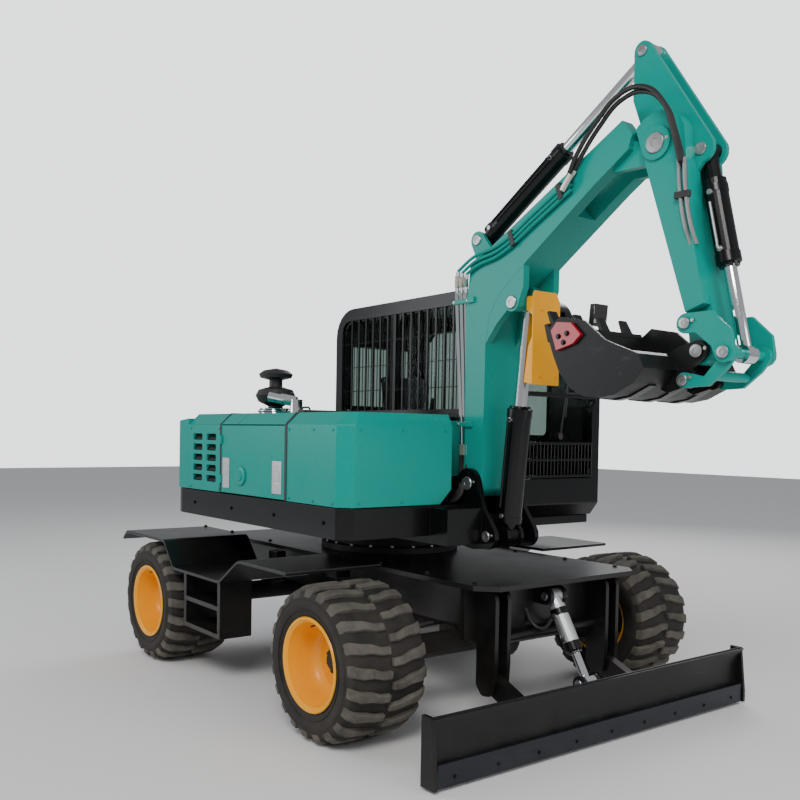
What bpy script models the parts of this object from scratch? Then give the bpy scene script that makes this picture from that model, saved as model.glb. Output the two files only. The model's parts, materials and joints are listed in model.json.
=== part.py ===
"""Compact wheeled excavator: chassis with steered front axle, dozer blade, slewing house, cab and digging arm.

Metres, +X forward, +Y left, +Z up. Everything is laid out round the slew axis at x = 0 with the ground at z = 0,
and the whole machine is then shifted along X so that the frame's origin is the bottom centre of its box.
"""
import math

import bmesh
import bpy
from mathutils import Matrix, Vector

# ---- driving dimensions -------------------------------------------------------------------------
SEAT_GAP = 0.0003          # between touching solids
RUN_GAP = 0.0006           # beside the eyes and bosses that turn
PANEL_GAP = 0.006          # round doors and lids

WHEELBASE = 1.91
FRONT_AXLE_X = 0.985
TRACK = 2.09               # between the tyres' centre planes
REAR_AXLE_X = FRONT_AXLE_X - WHEELBASE
TYRE_RADIUS = 0.385
TYRE_WIDTH = 0.47
RIM_RADIUS = 0.214         # bead seat
RIM_WALL = 0.014
DISC_OFFSET = 0.03         # wheel disc, outboard of the tyre's centre plane
HUB_RADIUS = 0.075
KINGPIN_Y = TRACK / 2 - 0.205
STEER_ARM = 0.15
AXLE_TUBE = 0.065
DIFF_RADIUS = 0.13

DECK_TOP = 0.77
DECK_THICK = 0.025
DECK_HALF = 0.60
DECK_FRONT = FRONT_AXLE_X + 0.515
DECK_REAR = REAR_AXLE_X - 0.295
BEAM_BOTTOM = 0.50
BEAM_IN = 0.26
BEAM_OUT = 0.40

FENDER_TOP = 0.805
STEP_TOP = 0.65
SHEET = 0.018
FENDER_OUT = TRACK / 2 + 0.205
FENDER_IN = DECK_HALF + 0.04
FENDER_REAR = REAR_AXLE_X - 0.475
FENDER_FRONT = FRONT_AXLE_X - 0.245
STEP_REAR = REAR_AXLE_X + 0.335     # the low step, between the two fenders
STEP_FRONT = FRONT_AXLE_X - 0.965
LADDER_REAR = STEP_REAR + 0.10
LADDER_FRONT = STEP_FRONT - 0.035

BLADE_PIVOT = (FRONT_AXLE_X + 0.385, 0.27)
BLADE_WIDTH = 2.33
BLADE_X = 1.777
BLADE_BOTTOM = 0.015
BLADE_HEIGHT = 0.30
BLADE_ARM_Y = 0.42
BLADE_CYL_FOOT = (1.385, 0.665)
BLADE_CYL_ROD = (1.62, 0.26)

RING_TOP = 0.90
HOUSE_HALF = 1.0
HOUSE_BOTTOM = 0.95
HOUSE_BASE_TOP = 1.112
HOUSE_REAR = -1.14
HOUSE_FRONT = 0.88
HOUSE_CHAMFER = 0.07
PANEL_BOTTOM = 1.117
PANEL_FOLD = 1.541
PANEL_TOP = 1.61
PANEL_THICK = 0.025
SEAM_REAR = -0.90
SEAM_DOOR_REAR = -0.43
SEAM_DOOR_FRONT = 0.315
HOOD_SPLIT = -0.225
HOUSE_INNER = 0.195        # the hood's edge beside the cab
COVER_INNER = -0.27        # the front cover's edge beside the boom

CAB_RIGHT = 0.215
CAB_LEFT = 1.03
CAB_FLOOR = 1.0
CAB_ROOF = 2.40
CAB_REAR = -0.94
CAB_FRONT = 0.84
CAB_WALL = 0.04

BOOM_FOOT = (0.90, 1.23)
LIFT_FOOT = (1.055, 0.948)
LIFT_ROD = (1.18, 2.206)
STICK_PIVOT = (2.05, 2.82)
ARM_FOOT = (0.83, 2.60)
ARM_ROD = (1.905, 3.30)
BOOM_HALF = 0.14
TOWER_IN = BOOM_HALF + RUN_GAP
TOWER_THICK = 0.03

BUCKET_PIVOT = (2.26, 1.88)
BUCKET_PIN = (2.216, 1.754)
ROCKER_PIVOT = (2.237, 1.997)
LINK_PIVOT = (2.42, 1.862)
BUCKET_CYL_FOOT = (2.22, 2.77)
BUCKET_HALF = 0.36

STICK_HEAD = 0.145         # round head of the stick, about its pin
STICK_SOCKET = 0.095       # room inside it for the boom's tongue
SWING_GAP = 0.006          # between the two as the stick swings
EYE_HALF = 0.038           # half the length of a cylinder's eye
LUG = 0.024

TEAL = (0.0, 0.45, 0.36)
BLACK = (0.012, 0.013, 0.014)
YELLOW = (1.0, 0.44, 0.0)
RED = (0.55, 0.01, 0.03)
CHROME = (0.75, 0.76, 0.78)
RUBBER = (0.06, 0.055, 0.05)
GLASS = (0.55, 0.70, 0.62)
GREY = (0.12, 0.12, 0.12)


# ---- modelling tools ----------------------------------------------------------------------------
def keep(bm, name="blank"):
    """A bmesh as an object at the world's origin."""
    bmesh.ops.remove_doubles(bm, verts=bm.verts, dist=1e-6)
    bmesh.ops.recalc_face_normals(bm, faces=bm.faces)
    mesh = bpy.data.meshes.new(name)
    bm.to_mesh(mesh)
    bm.free()
    item = bpy.data.objects.new(name, mesh)
    bpy.context.collection.objects.link(item)
    return item


def extrude(points, direction):
    """A closed prism from an outline of 3-D points."""
    bm = bmesh.new()
    face = bm.faces.new([bm.verts.new(p) for p in points])
    moved = bmesh.ops.extrude_face_region(bm, geom=[face])["geom"]
    bmesh.ops.translate(bm, vec=direction, verts=[v for v in moved if isinstance(v, bmesh.types.BMVert)])
    return keep(bm)


def side_plate(outline, y0, y1):
    return extrude([(x, y0, z) for x, z in outline], (0, y1 - y0, 0))


def flat_plate(outline, z0, z1):
    return extrude([(x, y, z0) for x, y in outline], (0, 0, z1 - z0))


def cross_plate(outline, x0, x1):
    return extrude([(x0, y, z) for y, z in outline], (x1 - x0, 0, 0))


def block(x0, x1, y0, y1, z0, z1):
    return flat_plate([(x0, y0), (x1, y0), (x1, y1), (x0, y1)], z0, z1)


def bar(start, end, radius, sides=16):
    """A round bar between two points."""
    a, b = Vector(start), Vector(end)
    bm = bmesh.new()
    bmesh.ops.create_cone(bm, cap_ends=True, segments=sides, radius1=radius, radius2=radius,
                          depth=(b - a).length)
    turn = (b - a).to_track_quat("Z", "Y").to_matrix().to_4x4()
    bmesh.ops.transform(bm, matrix=Matrix.Translation((a + b) / 2) @ turn, verts=bm.verts)
    return keep(bm)


def cross_bar(point, y0, y1, radius, sides=20):
    return bar((point[0], y0, point[1]), (point[0], y1, point[1]), radius, sides)


def turned(profile, centre, axis, sides=40):
    """A closed ring or disc, turned round an axis through centre. Profile points are (along, radius)."""
    way = Vector(axis).normalized()
    out = way.cross(Vector((1, 0, 0))).normalized()
    bm = bmesh.new()
    verts = [bm.verts.new(Vector(centre) + way * u + out * r) for u, r in profile]
    edges = [bm.edges.new((verts[i - 1], verts[i])) for i in range(len(verts))]
    bmesh.ops.spin(bm, geom=verts + edges, cent=centre, axis=way, steps=sides, angle=2 * math.pi,
                   use_merge=True)
    bmesh.ops.remove_doubles(bm, verts=bm.verts, dist=1e-5)
    bmesh.ops.dissolve_degenerate(bm, edges=bm.edges, dist=1e-6)
    bmesh.ops.delete(bm, geom=[e for e in bm.edges if not e.link_faces], context="EDGES")
    return keep(bm)


def arc(centre, radius, start, end, steps=6):
    """Outline points on an arc, angles in degrees from the outline's first axis."""
    turns = [math.radians(start + (end - start) * i / steps) for i in range(steps + 1)]
    return [(centre[0] + radius * math.cos(t), centre[1] + radius * math.sin(t)) for t in turns]


def rounded(corners, steps=4):
    """An outline from (a, b, radius) corners, with an arc at each corner that has a radius."""
    points = []
    for i, (a, b, radius) in enumerate(corners):
        here = Vector((a, b))
        if not radius:
            points.append((a, b))
            continue
        before = (Vector(corners[i - 1][:2]) - here).normalized()
        after = (Vector(corners[(i + 1) % len(corners)][:2]) - here).normalized()
        half = before.angle(after) / 2
        reach = radius / math.tan(half)
        centre = here + (before + after).normalized() * radius / math.sin(half)
        first = here + before * reach - centre
        last = here + after * reach - centre
        sweep = first.angle_signed(last)
        for k in range(steps + 1):
            t = -sweep * k / steps
            spoke = Vector((first.x * math.cos(t) - first.y * math.sin(t),
                            first.x * math.sin(t) + first.y * math.cos(t)))
            points.append(tuple(centre + spoke))
    return points


def boss_outline(point, radius, other, other_radius, steps=8):
    """A link's outline: two round ends and straight flanks."""
    a, b = Vector(point), Vector(other)
    angle = math.degrees(math.atan2(b.y - a.y, b.x - a.x))
    lean = math.degrees(math.asin((radius - other_radius) / (b - a).length))
    ends = arc(point, radius, angle + 90 - lean, angle + 270 + lean, steps)
    return ends + arc(other, other_radius, angle - 90 + lean, angle + 90 - lean, steps)


def merge(target, others, operation="UNION"):
    for other in others:
        step = target.modifiers.new(operation.lower(), "BOOLEAN")
        step.operation = operation
        step.solver = "EXACT"
        step.object = other
        graph = bpy.context.evaluated_depsgraph_get()
        solved = bpy.data.meshes.new_from_object(target.evaluated_get(graph))
        target.modifiers.clear()
        target.data = solved
        bpy.data.objects.remove(other)
    return target


def finish(name, pieces, paint, cuts=(), pivot=(0, 0, 0), rough=0.35, metal=0.0, smooth=True):
    """One named solid: its pieces joined, its openings cut, its origin moved to its pivot, its paint on."""
    body = merge(pieces[0], pieces[1:])
    body = merge(body, cuts, "DIFFERENCE")
    tidy = bmesh.new()
    tidy.from_mesh(body.data)
    bmesh.ops.remove_doubles(tidy, verts=tidy.verts, dist=2e-6)
    bmesh.ops.dissolve_degenerate(tidy, edges=tidy.edges, dist=1e-6)
    bmesh.ops.delete(tidy, geom=[e for e in tidy.edges if not e.link_faces], context="EDGES")
    bmesh.ops.holes_fill(tidy, edges=[e for e in tidy.edges if len(e.link_faces) == 1], sides=0)
    bmesh.ops.triangulate(tidy, faces=[f for f in tidy.faces if len(f.verts) > 4])
    tidy.to_mesh(body.data)
    tidy.free()
    body.data.transform(Matrix.Translation(-Vector(pivot)))
    body.location = pivot
    body.name = name
    body.data.name = name
    material = bpy.data.materials.new(name)
    material.use_nodes = True
    shader = material.node_tree.nodes["Principled BSDF"]
    shader.inputs["Base Color"].default_value = (*paint, 1)
    shader.inputs["Roughness"].default_value = rough
    shader.inputs["Metallic"].default_value = metal
    material.diffuse_color = (*paint, 1)
    body.data.materials.clear()
    body.data.materials.append(material)
    if smooth:
        body.data.shade_smooth()
        body.data.set_sharp_from_angle(angle=math.radians(35))
    return body


def at(point, y=0.0):
    """A side-view point as a 3-D point."""
    return (point[0], y, point[1])


def along(start, end, distance):
    """The side-view point at a distance from start towards end."""
    a, b = Vector(start), Vector(end)
    return tuple(a + (b - a).normalized() * distance)


# ---- chassis ------------------------------------------------------------------------------------
def chassis_frame():
    chamfer = 0.09
    deck = flat_plate(
        [(DECK_REAR, -DECK_HALF), (DECK_FRONT - chamfer, -DECK_HALF), (DECK_FRONT, -DECK_HALF + chamfer),
         (DECK_FRONT, DECK_HALF - chamfer), (DECK_FRONT - chamfer, DECK_HALF), (DECK_REAR, DECK_HALF)],
        DECK_TOP - DECK_THICK, DECK_TOP)
    beams = [
        block(DECK_REAR + 0.03, BLADE_PIVOT[0] - 0.07, side * BEAM_IN, side * BEAM_OUT, BEAM_BOTTOM,
              DECK_TOP - 0.01)
        for side in (-1, 1)]
    webs = [block(x, x + 0.05, -BEAM_IN - 0.02, BEAM_IN + 0.02, BEAM_BOTTOM + 0.05, DECK_TOP - 0.01)
            for x in (DECK_REAR + 0.05, -0.35, 0.35)]
    front_plate = block(BLADE_PIVOT[0] - 0.09, BLADE_PIVOT[0] - 0.06, -DECK_HALF + 0.04, DECK_HALF - 0.04,
                        BEAM_BOTTOM - 0.02, DECK_TOP - 0.01)
    lugs = [side_plate(
        boss_outline(BLADE_CYL_FOOT, 0.045, (BLADE_PIVOT[0] - 0.075, BLADE_CYL_FOOT[1] + 0.02), 0.06),
        side * (EYE_HALF + RUN_GAP), side * (EYE_HALF + RUN_GAP + LUG)) for side in (-1, 1)]
    return finish("chassis_frame", [deck, *beams, *webs, front_plate, *lugs], BLACK, smooth=False)


def blade_bracket():
    """Two pairs of curved plates under the deck's front, joined by a cross tube, which carry the blade's arms."""
    x, z = BLADE_PIVOT
    top = DECK_TOP - DECK_THICK - SEAT_GAP
    rear = x - 0.06 + SEAT_GAP
    outline = rounded([
        (rear, top, 0), (rear, z - 0.02, 0.03), (x - 0.02, z - 0.07, 0.03), (x + 0.06, z - 0.06, 0.04),
        (x + 0.07, z + 0.10, 0.05), (x + 0.07, top - 0.02, 0.06), (x + 0.01, top, 0)])
    inner = BLADE_ARM_Y - 0.055
    plates = []
    for side in (-1, 1):
        for edge in (inner, inner + 0.085):
            plates.append(side_plate(outline, side * edge, side * (edge + 0.025)))
    tube = bar((rear + 0.035, -inner - 0.10, z + 0.20), (rear + 0.035, inner + 0.10, z + 0.20), 0.028)
    return finish("blade_bracket", [*plates, tube], BLACK, smooth=False)


def slew_ring():
    outer, lip = 0.44, 0.40
    base, top = DECK_TOP + SEAT_GAP, RING_TOP
    ring = turned([(base, 0.0), (base, outer), (base + 0.04, outer), (base + 0.045, lip), (top - 0.03, lip),
                   (top - 0.025, outer - 0.02), (top, outer - 0.02), (top, 0.0)], (0, 0, 0), (0, 0, 1), 32)
    return finish("slew_ring", [ring], BLACK, rough=0.5)


def saddles(x):
    """Blocks that bolt an axle tube under the frame's two beams."""
    middle = (BEAM_IN + BEAM_OUT) / 2
    return [block(x - 0.06, x + 0.06, side * (middle - 0.05), side * (middle + 0.05),
                  TYRE_RADIUS, BEAM_BOTTOM - SEAT_GAP) for side in (-1, 1)]


def differential(x, nose):
    """The round gear case in an axle's middle, with the nose that the drive shaft enters."""
    case = turned([(-0.10, 0.0), (-0.10, 0.075), (-0.05, DIFF_RADIUS), (0.05, DIFF_RADIUS), (0.10, 0.075),
                   (0.10, 0.0)],
                  (x, 0, TYRE_RADIUS), (0, 1, 0), 20)
    neck = bar((x, 0, TYRE_RADIUS), (x + nose * (DIFF_RADIUS + 0.05), 0, TYRE_RADIUS), 0.05, 12)
    return [case, neck]


def rear_axle():
    reach = TRACK / 2 + DISC_OFFSET - RUN_GAP
    z = TYRE_RADIUS
    tube = bar((REAR_AXLE_X, -reach + 0.16, z), (REAR_AXLE_X, reach - 0.16, z), AXLE_TUBE)
    drums = [bar((REAR_AXLE_X, side * (reach - 0.20), z), (REAR_AXLE_X, side * reach, z), 0.115, 20)
             for side in (-1, 1)]
    return finish("rear_axle", [tube, *drums, *differential(REAR_AXLE_X, 1), *saddles(REAR_AXLE_X)], BLACK,
                  rough=0.5)


YOKE_HEIGHT = 0.10         # half the kingpin's barrel
BARREL_RADIUS = 0.05


def front_axle():
    z = TYRE_RADIUS
    web_out = KINGPIN_Y - BARREL_RADIUS - 0.014
    tube = bar((FRONT_AXLE_X, -web_out + 0.02, z), (FRONT_AXLE_X, web_out - 0.02, z), AXLE_TUBE)
    yokes = []
    for side in (-1, 1):
        yokes.append(block(FRONT_AXLE_X - 0.055, FRONT_AXLE_X + 0.055, side * (web_out - 0.04),
                           side * web_out,
                           z - YOKE_HEIGHT - 0.03, z + YOKE_HEIGHT + 0.03))
        for up in (-1, 1):
            near, far = up * (YOKE_HEIGHT + RUN_GAP), up * (YOKE_HEIGHT + 0.03)
            yokes.append(flat_plate(
                boss_outline((FRONT_AXLE_X, side * KINGPIN_Y), 0.05, (FRONT_AXLE_X,
                                                                      side * (web_out - 0.03)), 0.045, 6),
                z + min(near, far), z + max(near, far)))
    return finish("front_axle", [tube, *yokes, *differential(FRONT_AXLE_X, -1), *saddles(FRONT_AXLE_X)],
                  BLACK,
                  rough=0.5)


def knuckle(name, side):
    """The steering knuckle: kingpin barrel, spindle drum out to the wheel disc, and the steering arm."""
    z = TYRE_RADIUS
    y = side * KINGPIN_Y
    reach = side * (TRACK / 2 + DISC_OFFSET - RUN_GAP)
    barrel = bar((FRONT_AXLE_X, y, z - YOKE_HEIGHT), (FRONT_AXLE_X, y, z + YOKE_HEIGHT), BARREL_RADIUS, 20)
    spindle = bar((FRONT_AXLE_X, y, z), (FRONT_AXLE_X, reach, z), 0.07, 20)
    drum = bar((FRONT_AXLE_X, reach - side * 0.17, z), (FRONT_AXLE_X, reach, z), 0.115, 20)
    arm = flat_plate(boss_outline((FRONT_AXLE_X - STEER_ARM, y), 0.026, (FRONT_AXLE_X, y), 0.034, 6),
                     z - 0.05, z - 0.03)
    return finish(name, [barrel, spindle, drum, arm], BLACK, pivot=(FRONT_AXLE_X, y, z), rough=0.5)


def tie_rod():
    x, z = FRONT_AXLE_X - STEER_ARM, TYRE_RADIUS - 0.05 - RUN_GAP
    eyes = [bar((x, side * KINGPIN_Y, z - 0.022), (x, side * KINGPIN_Y, z), 0.0185, 16) for side in (-1, 1)]
    rod = bar((x, -KINGPIN_Y, z - 0.012), (x, KINGPIN_Y, z - 0.012), 0.0105, 10)
    return finish("tie_rod", [rod, *eyes], GREY, pivot=(x, 0, z), metal=0.4)


def drive_shafts():
    """Transfer gearbox between the beams with a shaft to each axle's nose."""
    z = TYRE_RADIUS
    box = block(-0.16, 0.14, -0.15, 0.15, z - 0.08, 0.68)
    front = bar((0.1, 0, z), (FRONT_AXLE_X - DIFF_RADIUS - 0.05 - SEAT_GAP, 0, z), 0.032, 12)
    rear = bar((-0.1, 0, z), (REAR_AXLE_X + DIFF_RADIUS + 0.05 + SEAT_GAP, 0, z), 0.032, 12)
    neck = block(-0.10, 0.08, -0.10, 0.10, 0.66, DECK_TOP - DECK_THICK - SEAT_GAP)
    return finish("drive_shafts", [box, neck, front, rear], GREY, rough=0.5, metal=0.3)


def platform(name, side):
    """One bent sheet a side: rear fender, low step, front fender, with the step ladder's frame below it."""
    top = rounded([
        (FENDER_REAR, FENDER_TOP - 0.05, 0), (FENDER_REAR + 0.06, FENDER_TOP, 0.05),
        (STEP_REAR - 0.14, FENDER_TOP, 0.06), (STEP_REAR, STEP_TOP, 0.03), (STEP_FRONT, STEP_TOP, 0.08),
        (STEP_FRONT + 0.22, FENDER_TOP - 0.01, 0.12),
        (FENDER_FRONT, FENDER_TOP - 0.01, 0)])
    below = [(x, z - SHEET) for x, z in reversed(top)]
    inner, outer = side * FENDER_IN, side * FENDER_OUT
    sheet = side_plate(top + below, min(inner, outer), max(inner, outer))
    # brackets from the deck's edge
    edge = side * (DECK_HALF + SEAT_GAP)
    supports = [block(x, x + 0.10, *sorted((edge, side * (FENDER_IN + 0.06))), z0, z1)
                for x, z0, z1 in ((FENDER_REAR + 0.30, DECK_TOP - 0.10, FENDER_TOP - 0.01),
                                  (STEP_FRONT + 0.28, DECK_TOP - 0.10, FENDER_TOP - 0.02),
                                  (STEP_REAR + 0.19, STEP_TOP - 0.10, STEP_TOP - 0.01))]
    # the web that takes the low step's load back under the deck
    supports.append(block(STEP_REAR + 0.19, STEP_REAR + 0.29, *sorted((edge, side * (FENDER_IN + 0.03))),
                          STEP_TOP - 0.10, DECK_TOP - 0.03))
    # step ladder: two posts and two treads hung below the step
    post_y = sorted((side * (FENDER_OUT - 0.03), side * (FENDER_OUT - 0.24)))
    bottom = 0.30
    ladder = [block(x, x + 0.035, *post_y, bottom, STEP_TOP - 0.01) for x in (LADDER_REAR,
                                                                              LADDER_FRONT - 0.035)]
    ladder += [block(LADDER_REAR + 0.02, LADDER_FRONT - 0.015, *post_y, z, z + 0.03) for z in (bottom,
                                                                                               bottom + 0.16)]
    return finish(name, [sheet, *supports, *ladder], BLACK, smooth=False)


# ---- wheels -------------------------------------------------------------------------------------
def tyre(name, x, side):
    half, outer, seat = TYRE_WIDTH / 2, TYRE_RADIUS, RIM_RADIUS
    side_profile = [(half - 0.035, seat), (half - 0.022, seat + 0.022), (half, seat + 0.075), (half - 0.003,
                                                                                               outer - 0.055),
                    (half - 0.030, outer - 0.015), (half - 0.065, outer)]
    profile = side_profile + [(-u, r) for u, r in reversed(side_profile)]
    centre = (x, side * TRACK / 2, TYRE_RADIUS)
    return finish(name, [turned(profile, centre, (0, side, 0), 28)], RUBBER, pivot=centre, rough=0.9)


def rim(name, x, side):
    """Deep-dish rim: barrel, outer lip, disc set far in, and the hub's cap."""
    half = TYRE_WIDTH / 2
    out = RIM_RADIUS - SEAT_GAP
    bore = out - RIM_WALL
    lip = half - 0.018
    disc = DISC_OFFSET
    profile = [
        (disc, 0.0), (disc, bore - 0.02), (-half + 0.04, bore), (-half + 0.04, out), (lip - 0.004, out),
        (lip, out + 0.016),
        (lip + 0.009, out + 0.016), (lip + 0.009, bore + 0.002), (disc + 0.045, bore - 0.012),
        (disc + 0.014, bore - 0.045),
        (disc + 0.014, HUB_RADIUS + 0.01), (disc + 0.05, HUB_RADIUS), (disc + 0.06, HUB_RADIUS - 0.02),
        (disc + 0.06, 0.0)]
    centre = (x, side * TRACK / 2, TYRE_RADIUS)
    return finish(name, [turned(profile, centre, (0, side, 0), 28)], YELLOW, pivot=centre, rough=0.3)


# ---- dozer blade --------------------------------------------------------------------------------
def blade_mouldboard():
    x, z = BLADE_X, BLADE_BOTTOM
    top = z + BLADE_HEIGHT
    middle = z + BLADE_HEIGHT * 0.5
    hollow = 0.30
    sag = math.sqrt(hollow ** 2 - (BLADE_HEIGHT / 2) ** 2)
    reach = math.degrees(math.asin(BLADE_HEIGHT / 2 / hollow))
    face = arc((x + sag, middle), hollow, 180 + reach, 180 - reach, 8)
    back = [(px - 0.028, pz) for px, pz in reversed(face)]
    half = BLADE_WIDTH / 2
    sheet = side_plate(face + back, -half, half)
    pieces = [sheet]
    for side in (-1, 1):
        pieces.append(side_plate([(x - 0.075, z), (x + 0.012, z), (x + 0.012, z + 0.06),
                                  (x - 0.012, top + 0.005),
                                  (x - 0.075, top + 0.005)], side * (half - 0.018), side * (half + 0.002)))
    rib = block(x - 0.10, x - 0.05, -half + 0.05, half - 0.05, middle - 0.03, middle + 0.03)
    shelf = block(x - 0.082, x - 0.015, -half + 0.02, half - 0.02, z, z + 0.02)
    return finish("blade_mouldboard", [*pieces, rib, shelf], BLACK, pivot=at(BLADE_PIVOT), rough=0.5,
                  smooth=False)


def blade_arms():
    """Two push arms, their cross plate behind the mouldboard, and the cylinder's lugs."""
    x, z = BLADE_PIVOT
    back = BLADE_X - 0.10 - SEAT_GAP
    middle = BLADE_BOTTOM + BLADE_HEIGHT * 0.5
    outline = [*arc(BLADE_PIVOT, 0.05, 60, 250, 8), (back - 0.02, middle - 0.08), (back, middle - 0.08),
               (back, middle + 0.05), (back - 0.06, middle + 0.05)]
    start = BLADE_ARM_Y - 0.03 + RUN_GAP
    arms = [side_plate(outline, side * start, side * (start + 0.06 - 2 * RUN_GAP)) for side in (-1, 1)]
    cross = block(back - 0.03, back, -start - 0.02, start + 0.02, middle - 0.07, middle + 0.06)
    lugs = [side_plate(boss_outline(BLADE_CYL_ROD, 0.04, (back - 0.052, middle), 0.05),
                       side * (EYE_HALF + RUN_GAP), side * (EYE_HALF + RUN_GAP + LUG)) for side in (-1, 1)]
    return finish("blade_arms", [*arms, cross, *lugs], BLACK, pivot=at(BLADE_PIVOT), smooth=False)


# ---- hydraulic cylinders ------------------------------------------------------------------------
def cylinder(name, foot, rod_end, length, barrel_radius, rod_radius, eye=0.045, neck=0.02):
    """A barrel that turns on its foot eye, and its rod, which is opened at the eye at its far end."""
    gland = along(foot, rod_end, length)
    start = along(foot, rod_end, eye + neck)
    bore_start = along(foot, rod_end, eye + neck + 0.02)
    shell = [
        cross_bar(foot, -EYE_HALF, EYE_HALF, eye),
        bar(at(foot), at(along(foot, rod_end, eye + neck + 0.015)), EYE_HALF * 0.9, 12),
        bar(at(start), at(gland), barrel_radius, 24),
        bar(at(along(foot, rod_end, length - 0.05)), at(along(foot, rod_end, length + 0.012)),
            barrel_radius * 0.88, 24)]
    bore = bar(at(bore_start), at(along(foot, rod_end, length + 0.1)), rod_radius + RUN_GAP * 1.4, 24)
    finish(name + "_barrel", shell, BLACK, cuts=[bore], pivot=at(foot), rough=0.25)
    tail = along(foot, rod_end, length - 0.075)     # leaves room for the rod to run in
    rod = [bar(at(tail), at(rod_end), rod_radius, 24), cross_bar(rod_end, -EYE_HALF, EYE_HALF, eye)]
    finish(name + "_rod", rod, CHROME, pivot=at(rod_end), rough=0.1, metal=1.0)


# ---- house --------------------------------------------------------------------------------------
def house_plan(y0, y1, front, front_chamfer=0.0, rear_round=0.16):
    """Plan of the house between two sides; its rear corners are round where the side is an outer one."""
    right = rear_round if y0 <= -HOUSE_HALF else 0
    left = rear_round if y1 >= HOUSE_HALF else 0
    corners = [(HOUSE_REAR, y0, right)]
    if front_chamfer:
        corners += [(front - front_chamfer, y0, 0), (front, y0 + front_chamfer, 0)]
    else:
        corners += [(front, y0, 0)]
    corners += [(front, y1, 0), (HOUSE_REAR, y1, left)]
    return rounded(corners)


def house_frame():
    """Slewing deck: base tray, turntable disc, and the two towers that hold the boom's foot and the lift cylinder."""
    right = flat_plate(house_plan(-HOUSE_HALF, CAB_RIGHT - 0.02, HOUSE_FRONT, HOUSE_CHAMFER), HOUSE_BOTTOM,
                       HOUSE_BASE_TOP)
    left = flat_plate(house_plan(CAB_RIGHT - 0.03, HOUSE_HALF, CAB_FRONT - 0.06), HOUSE_BOTTOM,
                      CAB_FLOOR - SEAT_GAP)
    disc = bar((0, 0, RING_TOP + RUN_GAP), (0, 0, HOUSE_BOTTOM + 0.01), 0.43, 36)
    front_box = block(0.50, 0.93, -0.42, TOWER_IN + TOWER_THICK, 0.905, HOUSE_BASE_TOP - 0.01)
    noses = [block(0.90, 1.02, y0, y1, 0.905, HOUSE_BASE_TOP - 0.01) for y0, y1 in ((-0.42, -0.09),
                                                                                    (0.09,
                                                                                     TOWER_IN + TOWER_THICK))]
    foot, lift = BOOM_FOOT, LIFT_FOOT
    outline = [(0.66, HOUSE_BASE_TOP - 0.02), (0.76, foot[1] + 0.03), *reversed(arc(foot, 0.085, 20, 150, 8)),
               (1.03, 1.10), *reversed(arc(lift, 0.07, -100, 40, 6)), (0.95, 0.87), (0.66, 0.91)]
    towers = [side_plate(outline, *sorted((side * TOWER_IN,
                                           side * (TOWER_IN + TOWER_THICK)))) for side in (-1, 1)]
    lugs = [side_plate(boss_outline(lift, 0.062, (0.95, lift[1] - 0.013), 0.045), side * (EYE_HALF + RUN_GAP),
                       side * (EYE_HALF + RUN_GAP + LUG)) for side in (-1, 1)]
    hollow = block(foot[0] - 0.13, foot[0] + 0.2, -TOWER_IN, TOWER_IN, HOUSE_BASE_TOP - 0.06, 1.6)
    return finish("house_frame", [right, left, disc, front_box, *noses, *towers, *lugs], BLACK,
                  cuts=[hollow], smooth=False)


def counterweight():
    """Cast rear weight that closes the engine bay's back, with a rounded top edge."""
    front = SEAM_REAR - SEAT_GAP
    side = rounded([(front, PANEL_BOTTOM, 0), (front, PANEL_TOP - 0.03, 0), (HOUSE_REAR + 0.02,
                                                                             PANEL_TOP - 0.05, 0.12),
                    (HOUSE_REAR - 0.005, PANEL_BOTTOM, 0)], 6)
    body = side_plate(side, -HOUSE_HALF, HOUSE_HALF)
    plan = rounded([(HOUSE_REAR - 0.01, -HOUSE_HALF - 0.01, 0.17), (front + 0.01, -HOUSE_HALF - 0.01, 0),
                    (front + 0.01, HOUSE_HALF + 0.01, 0), (HOUSE_REAR - 0.01, HOUSE_HALF + 0.01, 0.17)])
    trim = flat_plate(plan, PANEL_BOTTOM - 0.05, PANEL_TOP + 0.05)
    merge(body, [trim], "INTERSECT")
    cab_room = block(CAB_REAR - 0.012, front + 0.05, CAB_RIGHT - 0.012, CAB_LEFT + 0.05, CAB_FLOOR - 0.2, 2.0)
    return finish("counterweight", [body], TEAL, cuts=[cab_room])


def louvre_panel():
    """Right rear side panel with two columns of five cooling slots."""
    x0, x1 = SEAM_REAR + SEAT_GAP, SEAM_DOOR_REAR - PANEL_GAP / 2
    y0 = -HOUSE_HALF
    panel = block(x0, x1, y0, y0 + PANEL_THICK, PANEL_BOTTOM, PANEL_FOLD - SEAT_GAP)
    foot = block(x0, x1 - 0.02, y0 + PANEL_THICK - 0.005, y0 + PANEL_THICK + 0.03, PANEL_BOTTOM,
                 PANEL_BOTTOM + 0.02)
    slots = []
    width, height, pitch = 0.13, 0.04, 0.066
    for column in range(2):
        for row in range(5):
            left = x0 + 0.07 + column * (width + 0.06)
            low = PANEL_BOTTOM + 0.06 + row * pitch
            hole = rounded([(left, low, 0.012), (left + width, low, 0.012), (left + width, low + height,
                                                                             0.012),
                            (left, low + height, 0.012)], 2)
            slots.append(side_plate(hole, y0 - 0.05, y0 + 0.2))
    return finish("louvre_panel", [panel, foot], TEAL, cuts=slots, smooth=False)


DOOR_HINGE = (SEAM_DOOR_REAR + 0.004, -HOUSE_HALF - 0.006)


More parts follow.
